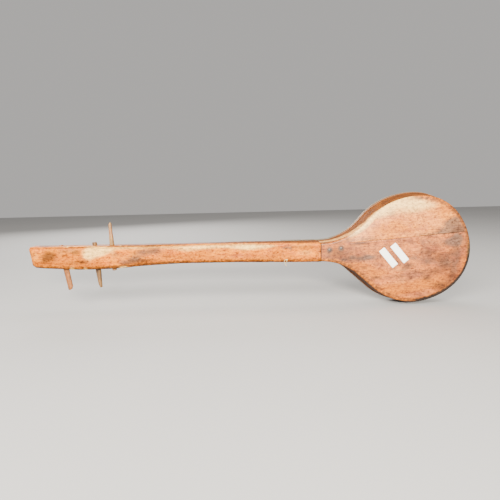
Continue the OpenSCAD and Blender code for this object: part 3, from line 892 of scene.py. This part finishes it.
def paint_neck(points, edges):
    """The neck's painted layers. edges says how near each point is to an edge of the neck."""
    x, y, z = points[:, 0], points[:, 1], points[:, 2] - AXIS_Z
    near = FRONT_Y - thickness(x)
    above_low = z + lower_edge(x)
    off_back = smooth((y - near - 3) / 4)
    at_front = smooth((y - FRONT_Y + 2) / 1.5)
    # top_side is painted shade on the neck's top side, from the head to the joint.
    top_side = off_back * smooth((z - 8) / 4) * smooth((x + 225) / 15)
    side = off_back * smooth((x + 372) / 8) * (1 - 0.45 * at_front)
    # rust is orange over the sides and towards the lower edge of the back: partly the varnish's own colour,
    # partly painted shade.
    rust = np.maximum(side, smooth((9 - above_low) / 8))
    # glow and strip are painted highlights: along the upper part of the neck, and on the head's top side.
    glow = smooth((z - 3) / 11) * smooth((x + 240) / 30) * smooth((70 - x) / 40)
    strip = smooth((x + 345) / 15) * smooth((-222 - x) / 15) * smooth((z - 17) / 1.2)
    bare = np.zeros(len(points))
    for chip_x, chip_z, size in CHIPS:
        gap = np.hypot((x - chip_x) / 1.6, z - chip_z)
        bare = np.maximum(bare, smooth(1.4 - gap / size) * (y < BACK_Y + 26))
    layers = paint(points, NECK_PATCHES, near)
    layers["edge"] = np.maximum(edges * 0.3, rust) * (1 - 0.7 * strip)
    layers["bare"] = bare
    # Painted shade: near-black along the lower edge, and on the top side.
    layers["shade"] = np.maximum(0.6 * smooth((1.8 - above_low) / 1.8), 0.3 * top_side)
    layers["painted_highlight"] = np.minimum(layers["painted_highlight"] + 0.15 * glow * (1 - side) + 0.35 * strip, 1.2)
    layers["front"] = 0.75 * at_front
    return layers


def neck():
    rings, edges = neck_rings()
    points, faces = close_ends(carve_rings(rings), len(rings[0]), len(rings) - 1)
    layers = paint_neck(points, np.r_[edges, np.zeros(len(points) - len(edges))])
    cut_neck(make_piece("neck_carved", points, faces, NECK_WOOD, "carved_wood", "neck", **layers))


def cut_neck(piece):
    """Cuts the string trough and the pegs' holes."""
    half = TROUGH_WIDTH / 2
    left, right = TROUGH[0] + half, TROUGH[1] - half
    turn = np.linspace(-pi / 2, pi / 2, 17)
    ring = [(right + half * cos(a), half * sin(a)) for a in turn]
    ring += [(left - half * cos(a), -half * sin(a)) for a in turn]
    floor_y = FRONT_Y - TROUGH_DEPTH
    levels = [(floor_y, -2.0), (floor_y + 0.5, -0.9), (floor_y + 2, 0), (FRONT_Y + 3, 0)]
    points = []
    for y, grow in levels:
        for x, z in ring:
            past = x - np.clip(x, left, right)
            size = hypot(past, z) or 1
            points.append((x + grow * past / size, y, AXIS_Z + z + grow * z / size))
    parts = [(points, sleeve_faces(len(levels), len(ring)))]
    for name in PEGS:
        middle, axis, _ = peg_axis(name)
        parts.append(tube([middle - axis * 45, middle + axis * 45], PEG_BORE, 40))
    cutter = place_object("cutter", make_mesh("cutter", *join_parts(parts)))
    cut = piece.modifiers.new("cut", "BOOLEAN")
    cut.operation = "DIFFERENCE"
    cut.solver = "EXACT"
    cut.use_self = True
    cut.object = cutter
    apply_modifiers(piece)
    bpy.data.objects.remove(cutter)


# ---- The rim and the back boards ----


def rim():
    """The side wall, a ring with a solid block at the neck."""
    rings = []
    for y in np.linspace(BOARD_Y, FRONT_Y, 19):
        inset = 0.25 if y in (BOARD_Y, FRONT_Y) else 0
        rings.append(at_depth(outline((FRONT_Y - y) / (FRONT_Y - BOARD_Y), inset), y))
    for y in (FRONT_Y, BOARD_Y):
        line = outline(1, RIM_WALL)
        line[:, 0] = np.maximum(line[:, 0], HEEL_X + HEEL_BLOCK)
        rings.append(at_depth(line, y))
    count = len(rings[0])
    points = np.vstack(rings)
    wall = points[: -2 * count]
    inward = np.array([BULB_X, 0, AXIS_Z]) - wall
    inward[:, 1] = 0
    inward /= np.linalg.norm(inward, axis=1)[:, None]
    shape = (wobble(wall, 18, 0.2, 3) + 0.15) * smooth((wall[:, 0] - HEEL_X) / 10)
    wall += inward * shape[:, None]
    # rubbed is a painted highlight: a pale strip along the rim's back corner on the upper side, widest near
    # the neck.
    reach = 17 * smooth((238 - points[:, 0]) / 85) + wobble(points, 9, 1.5, 6)
    rubbed = smooth((BOARD_Y + reach - points[:, 1]) / 3) * smooth((points[:, 2] - AXIS_Z - 5) / 6)
    # low is painted shade over the rim's lower half.
    low = smooth((AXIS_Z - 8 - points[:, 2]) / 20)
    faces = grid_faces(len(rings), count, True, True)
    make_piece("rim_wall", points, faces, RIM_WOOD, "carved_wood", "rim", rubbed=rubbed, low=low)


def wide_seam(x):
    """1 in the two stretches where the crack has opened, and 0 elsewhere."""
    return smooth((x - 280) / 8) * smooth((314 - x) / 8) + smooth((x - 322) / 8) * smooth((358 - x) / 8)


def seam_height(x, side):
    """Height above the axis of one board's ragged edge along the seam."""
    half_gap = 0.05 + 0.04 * smooth((x - 200) / 80) + 0.1 * wide_seam(x)
    ragged = np.abs(noise_at(x / 7, 3.1 * side, 0) * 0.12) * smooth((x - 180) / 60)
    return SEAM_RISE + SEAM_SLOPE * (x - HEEL_X) + side * (half_gap + ragged)


def seam_line(stop_x, side):
    """One board's edge along the seam, from the neck joint to stop_x."""
    x = np.linspace(HEEL_X, stop_x, BOARD_STEPS)
    return np.column_stack([x, seam_height(x, side)])


def board_outline(inset, side):
    """One board's edge from the seam at the neck joint, round the outside, to the seam at the tail."""
    line = half_outline(1, inset, 1) if side > 0 else outline(1, inset)
    above = line[:, 1] - seam_height(line[:, 0], side)
    first = int(np.argmax((side * above > 0) & (line[:, 0] > BULB_X)))
    before, after = above[first - 1], above[first]
    crossing = line[first - 1] + (line[first] - line[first - 1]) * before / (before - after)
    corner = np.array([HEEL_X, seam_height(np.array([HEEL_X]), side)[0]])
    return resample(np.vstack([crossing, line[first:], corner]), BOARD_STEPS)[::-1]


def board_face(line, rim_line):
    """How far the face drops towards the board's outer edge, and how far away that edge is."""
    gap = np.hypot(*np.moveaxis(line[:, None] - rim_line, 2, 0)).min(axis=1)
    near_edge = np.clip(1 - gap / FACE_DROP[1], 0, 1) ** 2
    drop = FACE_DROP[0] * near_edge * smooth((line[:, 0] - HEEL_X - 6) / 60)
    return drop, gap


def board_layer(line, y, edge, dirt):
    """Rows of [x, height above the axis, depth, nearness to an edge, dirt in the seam]."""
    return np.column_stack([line] + [np.broadcast_to(v, BOARD_STEPS) for v in (y, edge, dirt)])


def board_layers(side, rows):
    """A board's layers: its inner face, its rounded edge, and its outer face from the edge to the seam."""
    turn = np.linspace(0, pi / 2, 8)
    rounds = [board_outline(BOARD_EDGE * (1 - sin(a)), side) for a in turn]
    edge_line, inner = rounds[0], resample(rounds[-1], BOARD_STEPS)
    seam, inner_seam = seam_line(edge_line[-1, 0], side), seam_line(inner[-1, 0], side)
    rim_line = resample(edge_line[np.abs(edge_line[:, 0] - HEEL_X) > 0.01], 600)
    layers = [board_layer(inner_seam + (inner - inner_seam) * t, BOARD_Y, 0, 0) for t in (0, 0.5, 1)]
    layers.append(board_layer(inner, BOARD_Y - 0.3, 1, 0))
    drop, _ = board_face(edge_line, rim_line)
    for a, line in zip(turn[::-1], rounds[::-1]):
        layers.append(board_layer(line, BACK_Y + drop + (BOARD_EDGE - drop) * (1 - cos(a)), 1, 0))
    for t in np.linspace(1, 0, rows)[1:] ** 1.5:
        line = seam + (edge_line - seam) * t
        x = line[:, 0]
        drop, gap = board_face(line, rim_line)
        carve = 0.12 + wobble(np.column_stack([x / 1.6, line[:, 1], 0 * x]), 16, 0.12, 5 + side)
        from_seam = np.abs(line[:, 1] - seam_height(x, side))
        rubbed = 0.3 * np.clip(1 - from_seam / 1.5, 0, 1) ** 2 * smooth((x - 150) / 40)
        fade = smooth(gap / 6) * smooth((x - HEEL_X) / 6)
        dirt = smooth(1 - from_seam / 1.6) * (0.3 * smooth((x - 150) / 60) + 0.12 * wide_seam(x))
        near_edge = np.clip(1 - gap / 7, 0, 1) ** 1.5
        layers.append(board_layer(line, BACK_Y + drop + (carve + rubbed) * fade, near_edge, dirt))
    layers.append(board_layer(seam, BACK_Y + SEAM_DEPTH, 0, 0.5))
    return np.array(layers)


def paint_board(points, edge, dirt, patches):
    """A board's painted layers."""
    x, y, z = points[:, 0], points[:, 1], points[:, 2] - AXIS_Z
    outward = np.column_stack([x - BULB_X, z])
    outward /= np.linalg.norm(outward, axis=1)[:, None] + 1e-6
    tailward, up = outward.T
    # glare_side is the upper-left stretch of the edge, which gets a painted highlight.
    glare_side = smooth((up * 0.9 - tailward * 0.9 - 0.75) / 0.5) * smooth(up * 3)
    # Painted shade: on the rounded edge where it faces down, and as a dark outline along the lower and the
    # upper right edges. shade also holds the dirt in the seam.
    rounded = smooth((y - BACK_Y - 1.6) / 1.8) * (0.35 + 0.65 * smooth((tailward + 0.6) / 0.5))
    painted_outline_shade = smooth((0.35 - up) / 0.5) * smooth((tailward + 0.25) / 0.4)
    painted_outline_shade = np.maximum(painted_outline_shade, 0.4 * smooth((tailward - 0.45) / 0.25) * smooth(up * 4))
    shade = np.maximum(dirt, rounded * smooth((0.75 - up) / 0.7))
    nail_gap = np.min([np.hypot(x - nail_x, z - nail_z) for nail_x, nail_z in NAILS], axis=0)
    # far is a painted shade towards the lower right of the back.
    far = smooth((x - 270) / 90) * smooth((30 - z) / 60)
    layers = paint(points, patches, BACK_Y)
    layers["painted_highlight"] = np.maximum(layers["painted_highlight"], 1.15 * edge * glare_side * smooth((x - 140) / 40))
    layers["grey"] = np.maximum(layers["grey"], smooth(2 - nail_gap / 3.4))
    layers["edge"] = edge * (1 - glare_side) * (1 - 0.5 * smooth(tailward * 3 - 1.6))
    layers["shade"] = np.maximum(shade, 0.8 * smooth((edge - 0.5) / 0.45) * painted_outline_shade)
    # dim: the painted shade towards the lower right, and darker near the neck joint.
    layers["dim"] = np.maximum(far, 0.75 * smooth((185 - x) / 40))
    return layers


def back_board(name, node, side, material, patches, rows):
    """Half of the back. side is 1 above the seam and -1 below it."""
    layers = board_layers(side, rows)
    count = len(layers)
    # At the joint the inner and the outer face share their points, so their depths have to agree
    stops = np.array([BACK_Y, BACK_Y + SEAM_DEPTH, BOARD_Y])
    layers[:, 0, 2] = stops[np.argmin(np.abs(layers[:, 0, 2:3] - stops), axis=1)]
    x, z, y, edge, dirt = layers.reshape(-1, 5).T
    points = np.column_stack([x, y, AXIS_Z + z])
    faces = grid_faces(count, BOARD_STEPS, True, False)
    faces.append(tuple(range(BOARD_STEPS - 1, count * BOARD_STEPS, BOARD_STEPS)))
    painted = paint_board(points, edge, dirt, patches)
    make_piece(name, points, faces, material, "back_wood", node, **painted)


def label(name, x, z):
    """A blank paper label stuck on the lower board, with softly rounded corners and a lifting end."""
    length, width, thick, turn = 38.0, 11.3, 0.14, radians(-50.3)
    rows, columns, corner = 9, 25, 0.8
    points = []
    for v in np.linspace(-1, 1, rows):
        for u in np.linspace(-1, 1, columns):
            past = max(0, abs(u) * length / 2 - length / 2 + corner)
            pinch = 1 - 0.06 * (past / corner) ** 2
            a, b = u * length / 2, v * width / 2 * pinch
            rough = 0.05 * noise.noise(Vector((a / 6, b / 6, x)))
            lift = 0.35 * max(0, u * 0.8 + v * 0.5 - 0.85) + rough
            point_x = x + a * cos(turn) - b * sin(turn)
            point_z = AXIS_Z + z + a * sin(turn) + b * cos(turn)
            points.append((point_x, BACK_Y - 0.02 - abs(lift), point_z))
    sheet = make_piece(name, points, grid_faces(rows, columns), PAPER, "back_wood", None)
    thicken(sheet, thick, 0)


# ---- The skin and what stands on it ----


def skin_fold(line, side):
    """One side's fold, from its cut edge up to the front: rows of [x, height, depth, grime, stain]."""
    cut = SKIN_FOLD + noise_at(line[:, 0] / 9, line[:, 1] / 9, side) * 1.6
    inward = np.array([BULB_X, 0]) - line
    inward /= np.linalg.norm(inward, axis=1)[:, None] + 1e-9
    layers = []
    for t in (1, 0.8, 0.6, 0.45, 0.3, 0.2, 0.1):
        down = cut * t
        flare = np.where(line[:, 0] > HEEL_X, FLARE * down / (FRONT_Y - BOARD_Y), 0)
        crease = noise_at(line[:, 0] / 3.5, line[:, 1] / 3.5, 4) * 0.25 * t
        place = line + inward * (flare + np.maximum(crease, -0.1))[:, None]
        stain = smooth((down - 2.2) / 2.5) * smooth((line[:, 0] - 135) / 30)
        layers.append(np.column_stack([place, SKIN_Y - down, np.full(len(line), 0.5 + 0.5 * t), stain]))
    for a in np.linspace(0, pi / 2, 5):
        place = line + inward * (SKIN_ROUND * (1 - cos(a)))
        depth = SKIN_Y - SKIN_ROUND * (1 - sin(a))
        layers.append(np.column_stack([place, np.tile([depth, 0.5, 0], (len(line), 1))]))
    return layers


def skin_head():
    """The skin: flat over the front, folded over the rim and the neck's heel, with a hand-cut edge."""
    x = np.linspace(TONGUE_X, HEEL_X, 27)[:-1]
    folds = []
    for side, edge in ((-1, lower_edge(x)), (1, upper_edge(x))):
        tongue = np.column_stack([x, side * (edge + SKIN)])
        folds.append(skin_fold(np.vstack([tongue, half_outline(0, -SKIN, side)[::-1]]), side))
    below, above = folds
    low_line, high_line = below[-1][:, :2], above[-1][:, :2]
    front = []
    for t in np.linspace(0, 1, 34)[1:-1]:
        line = low_line + (high_line - low_line) * t
        ends = (line - low_line, line - high_line, line - (TAIL_X, 0))
        gap = np.min([np.hypot(*end.T) for end in ends], axis=0)
        sag = SKIN_SAG * smooth(gap / 30) * (line[:, 0] > HEEL_X)
        feet = np.exp(-(((line[:, 0] - BRIDGE_X) / 12) ** 2) - (line[:, 1] / 26) ** 2)
        grime = np.clip(1 - gap / 10, 0, 1) * 0.5
        front.append(np.column_stack([line, SKIN_Y - sag * (1 - feet), grime, 0 * gap]))
    layers = np.array(below + front + above[::-1])
    rows, columns = layers.shape[:2]
    layers[:, 0, 0] += noise_at(np.arange(rows) / 4, 9, 0) * 1.2 + 0.6
    x, z, y, grime, stain = layers.reshape(-1, 5).T
    points = np.column_stack([x, y, AXIS_Z + z])
    faces = grid_faces(rows, columns)
    layers = {"edge": grime, "stain": stain}
    sheet = make_piece("skin_stretched", points, faces, PARCHMENT, "skin", "skin_head", **layers)
    thicken(sheet, SHEET, -1)


def block(node, low, high, section, notches=(), shape=None, steps=24):
    """A carved bar of dark wood: a section of [x, y] points swept along Z, with rounded edges.

    shape(y, z) gives the new depths of the section's points at z.
    """
    near = [z + d for z in notches for d in (-0.7, -0.5, -0.25, 0, 0.25, 0.5, 0.7)]
    zs = np.unique(np.r_[np.linspace(low[2], high[2], steps), near])
    rings = []
    for z in zs:
        ring = np.array(section, float)
        if shape:
            ring[:, 1] = shape(ring[:, 1], z)
        for notch in notches:
            gap = abs(z - notch)
            if gap < NOTCH:
                top = ring[:, 1] > high[1] - 0.8
                ring[top, 1] = np.minimum(ring[top, 1], high[1] - sqrt(NOTCH**2 - gap**2) + 0.05)
        rings.append(np.column_stack([ring, np.full(len(ring), z)]))
    points = np.vstack(rings)
    points[:, 0] += wobble(points, 6, 0.08, 9)
    faces = sleeve_faces(len(zs), len(section))
    bar = make_piece(f"{node}_carved", points, faces, DARK_WOOD, "dark_wood", node, flat=True)
    round_edges(bar, 0.35, 35)


def bar_section(low, high, taper, crown):
    """A bar's section: flat foot, tapering sides and a crowned top."""
    middle, half = (low[0] + high[0]) / 2, (high[0] - low[0]) / 2
    turn = np.linspace(0, pi, 9)
    top = [(middle + half * taper * cos(a), high[1] - crown + crown * sin(a)) for a in turn]
    return [(middle - half, low[1]), (middle + half, low[1])] + top


def nut():
    section = bar_section(NUT_LOW, NUT_HIGH, 0.8, 0.8)
    block("nut", NUT_LOW, NUT_HIGH, section, [AXIS_Z + k * NUT_SPACING for k in LANES])


def bridge():
    foot, top = BRIDGE_LOW[1], BRIDGE_HIGH[1]
    widths = (-BRIDGE_FOOT, 0, BRIDGE_FOOT, BRIDGE_TOP, 0, -BRIDGE_TOP)
    section = [(BRIDGE_X + x, y) for x, y in zip(widths, 3 * [foot] + 3 * [top])]

    def shape(y, z):
        t = (z - AXIS_Z) / (BRIDGE_HIGH[2] - BRIDGE_LOW[2]) * 2
        under = foot + 5 * max(0, 1 - (t * 22 / 13) ** 2)
        over = top - 7 * float(smooth((abs(t) - 0.7) / 0.32))
        return under + (y - foot) * (over - under) / (top - foot)

    notches = [AXIS_Z + k * BRIDGE_SPACING for k in LANES]
    block("bridge", BRIDGE_LOW, BRIDGE_HIGH, section, notches, shape, 40)


def tail_bar():
    def shape(y, z):
        end = 1 - 0.3 * float(smooth((abs(z - AXIS_Z) - 15) / 6))
        return BAR_LOW[1] + (y - BAR_LOW[1]) * end

    block("tail_bar", BAR_LOW, BAR_HIGH, bar_section(BAR_LOW, BAR_HIGH, 0.85, 1.6), shape=shape)


def nail_head(x, y, z, radius, out, seed):
    """A hammered nail head, domed towards out (-1 for the back, 1 for the front), and its shank."""
    profile = ((0.12, 0.34), (0.5, 0.3), (0.8, 0.16), (1, -0.05), (1, -0.6), (0.42, -0.7), (0.42, -6))
    sides = 20
    points = []
    for k, (r, height) in enumerate(profile):
        for a in np.linspace(0, 2 * pi, sides, endpoint=False):
            dent = 1 + 0.06 * noise.noise(Vector((cos(a) * 1.3, sin(a) * 1.3, seed + k * 0.2)))
            lift = height + 0.12 * noise.noise(Vector((cos(a) * r * 2, sin(a) * r * 2, seed)))
            reach = radius * r * dent
            points.append((x + reach * cos(a), y + out * lift, AXIS_Z + z + reach * sin(a)))
    return points, sleeve_faces(len(profile), sides)


def nails():
    parts = []
    for k, (x, z) in enumerate(NAILS):
        parts.append(nail_head(x, BACK_Y + 0.05, z, TONGUE_NAIL_R, -1, k * 3.1))
    make_piece("tongue_nails_hammered", *join_parts(parts), IRON, "nail_iron", "tongue_nails")
    low, high = node_box("tail_nails")
    x = (low[0] + high[0]) / 2
    reach = (high[2] - low[2]) / 2 - TAIL_NAIL_R
    parts = []
    for side in (-1, 1):
        parts.append(nail_head(x, high[1] - 0.2, side * reach, TAIL_NAIL_R, 1, 7 + side))
    make_piece("tail_nails_hammered", *join_parts(parts), IRON, "nail_iron", "tail_nails")


# ---- Pegs and strings ----


def peg_axis(name):
    """A peg's place, its direction towards the handle, and the direction across its flat side."""
    joint = next(j for j in frame["joints"] if j["child"] == f"{name}_peg")
    place = np.array(joint["pos_m"]) / MM
    axis = np.array(joint["axis"], float)
    axis /= np.linalg.norm(axis)
    across = np.cross(DEEP, axis)
    return place, axis, across / np.linalg.norm(across)


def peg(name):
    """A whittled peg: a round shaft and a flattened handle with knife facets and a cut tip."""
    place, axis, across = peg_axis(name)
    root, tip, thick = PEG_SIZES[name]
    length, stub, start, slope = PEG_LENGTH[name], PEG_STUB[name], PEG_ROOT[name], PEG_SLOPE[name]
    seed = PEGS.index(name) * 4.7
    sides = 12
    angles = [k * 2 * pi / sides + 0.16 * noise.noise(Vector((k * 1.7, seed, 0))) for k in range(sides)]
    points = []

    def add_point(t, wide, high, a):
        """Adds the point at angle a of an oval, at distance t along the peg."""
        points.append(place + axis * t + across * wide * cos(a) + DEEP * high * sin(a))

    shaft = [(-stub, 0.8), (-stub + 0.7, 0.97)] + [(t, 1) for t in np.linspace(-stub + 1.5, start - 0.3, 6)]
    for t, size in shaft:
        for a in angles:
            rough = 0.4 * noise.noise(Vector((cos(a), sin(a), seed + 5))) if t < -stub + 1 else 0
            add_point(t - rough, PEG_R * size * 0.995, PEG_R * size * 0.995, a)
    for k, t in enumerate((0, 0.12, 0.3, 0.5, 0.68, 0.85, 0.97)):
        wide = (root + (tip - root) * t) / 2
        high = (8.0 + (thick - 8.0) * min(1, t * 1.3)) / 2
        for j, a in enumerate(angles):
            square = 1 / (abs(cos(a)) ** 2.6 + abs(sin(a)) ** 2.6) ** (1 / 2.6)
            size = square * (1 - 0.05 + 0.05 * noise.noise(Vector((j * 0.9, k * 0.55, seed))))
            slant = slope * cos(a) if t > 0.9 else 0
            add_point(start + (length - 2.6 - start) * t + slant, wide * size, high * size, a)
    for a in angles:
        end = min(length - 0.9 + slope * cos(a) * 0.3, length - 0.1)
        add_point(end, tip * 0.22, thick * 0.3, a)
    faces = sleeve_faces(len(points) // sides, sides)
    facts = (PEG_WOOD[name], "peg_wood", f"peg_{name}", f"{name}_peg")
    round_edges(make_piece(f"peg_{name}_whittled", points, faces, *facts, flat=True), 0.3, 9)


def string_start(k):
    """Where string k leaves its peg: the peg's place at that height, and the angle of the touching point."""
    place, axis, _ = peg_axis(PEGS[k])
    centre = place + axis * (WIND_Z[k] / axis[2])
    nut_at = np.array([NUT_LOW[0], NUT_HIGH[1]]) - centre[:2]
    rise = atan2(nut_at[1], nut_at[0]) - asin(WIND_R / hypot(*nut_at))
    return centre, rise + pi / 2


def winding(k):
    """The turns of string on a peg, from the touching point to the hole, and its loose end."""
    name = PEGS[k]
    centre, angle = string_start(k)
    axis = peg_axis(name)[1]
    up = axis if axis[2] > 0 else -axis
    drift = -1 if axis[2] > 0 else 1
    turns, pitch = 4.3, 0.92
    path = []
    for t in np.linspace(0, turns, int(turns * 28)):
        a = angle + 2 * pi * t
        path.append(centre + up * drift * pitch * t + np.array([WIND_R * cos(a), WIND_R * sin(a), 0]))
    out = np.array([cos(a), sin(a), 0])
    last = centre + up * drift * (pitch * turns + 0.9)
    for reach in (PEG_R + 0.5, PEG_R - 0.3, 0.3 - PEG_R, -1.2 - PEG_R):
        path.append(last + out * reach)
    path.append(last - out * (PEG_R + 1.7) - up * 0.8)
    facts = (GUT_MATERIAL, "gut", f"winding_{name}", f"{name}_peg")
    make_piece(f"winding_{name}_turns", *tube(path, GUT, 8), *facts)


def trefoil(steps, over):
    """A knot's path, as rows of [depth, width, height]. over is how wide its three lobes are."""
    t = np.linspace(0, 2 * pi, steps, endpoint=False)
    across, up = np.sin(t) + over * np.sin(2 * t), np.cos(t) - over * np.cos(2 * t)
    return np.stack([0.55 * np.sin(3 * t), across, up], 1)


def gut_string(k):
    """A string from its peg over the nut and the bridge to a knot behind the tail bar."""
    name = PEGS[k]
    centre, angle = string_start(k)
    nut_z, end_z = AXIS_Z + LANES[k] * NUT_SPACING, AXIS_Z + LANES[k] * BRIDGE_SPACING
    corners = np.array(
        [
            centre + (WIND_R * cos(angle), WIND_R * sin(angle), 0),
            (NUT_LOW[0], NUT_HIGH[1], nut_z),
            (NUT_HIGH[0], NUT_HIGH[1], nut_z),
            (BRIDGE_X - BRIDGE_TOP, BRIDGE_HIGH[1], end_z),
            (BRIDGE_X + BRIDGE_TOP, BRIDGE_HIGH[1], end_z),
            (BAR_LOW[0] - 1, BAR_HOLE_Y, end_z),
            (BAR_HIGH[0] + 1.3, BAR_HOLE_Y, end_z),
        ]
    )
    path = []
    for a, b in zip(corners, corners[1:]):
        steps = max(2, int(np.linalg.norm(b - a) / 12))
        path += [a + (b - a) * t for t in np.linspace(0, 1, steps, endpoint=False)]
    path.append(corners[-1])
    knot = corners[-1] + trefoil(40, 1.2) * (1, 0.62, 0.62) + (0.3, 0, 0)
    parts = [tube(path, GUT, 8), tube(knot, GUT * 0.9, 8, True)]
    make_piece(f"string_{name}_gut", *join_parts(parts), GUT_MATERIAL, "gut", f"string_{name}")


def neck_lace():
    """The gut lace: out of a hole in the neck's back, round the lower edge, with a knot and a loose end."""
    x, hole = LACE
    near = FRONT_Y - float(thickness(x)) - 0.4
    far = SKIN_Y + 0.4
    low = -float(lower_edge(x)) - 1.5
    loop = (
        (near + 3, hole), (near + 0.2, hole - 0.2), (near - 0.1, hole - 1.5), (near, low + 2.5),
        (near + 1.2, low + 0.5), (near + 4, low), (far - 4, low), (far - 1.2, low + 0.4),
        (far, low + 2), (far + 0.1, hole - 1.5), (far - 0.2, hole - 0.2), (far - 3, hole),
    )
    centre = np.array([x + 0.3, near - 0.7, AXIS_Z + hole - 0.6])
    knot = centre + trefoil(48, 1.3)[:, [1, 0, 2]] * (0.68, 1, 0.51)
    end = (
        centre + (-0.6, 0, 0),
        centre + (-4.2, 0.1, -0.8),
        (x - 3.4, near - 0.8, AXIS_Z + low + 1.8),
        (x - 2.2, near - 0.9, AXIS_Z + low - 1.5),
        (x - 0.4, near - 0.7, AXIS_Z + low - 5.4),
    )
    parts = [
        tube(soft_path([(x, y, AXIS_Z + z) for y, z in loop]), GUT, 8),
        tube(knot, GUT * 1.15, 8, True),
        tube(soft_path(end), GUT * 0.9, 8),
    ]
    make_piece("neck_lace_gut", *join_parts(parts), GUT_MATERIAL, "gut", "neck_lace")


# ---- Everything ----

neck()
rim()
back_board("back_board_lower_planed", "back_board_lower", -1, LOWER_WOOD, LOWER_PATCHES, 34)
back_board("back_board_upper_planed", "back_board_upper", 1, UPPER_WOOD, UPPER_PATCHES, 24)
label("label_left", 235.4, -11.8)
label("label_right", 254.2, -4.4)
skin_head()
nut()
bridge()
tail_bar()
nails()
neck_lace()
for index, peg_name in enumerate(PEGS):
    peg(peg_name)
    winding(index)
    gut_string(index)
for node_name in ("back_batten_waist", "back_batten_tail"):
    batten = frame["nodes"][node_name]
    batten.data.materials.clear()
    batten.data.materials.append(BATTEN_WOOD)

floor_mesh = bpy.data.meshes.new("floor")
floor_mesh.from_pydata([(-4, -3, 0), (4, -3, 0), (4, 3, 0), (-4, 3, 0)], [], [(0, 1, 2, 3)])
floor_mesh.materials.append(floor_material())
place_object("floor", floor_mesh)
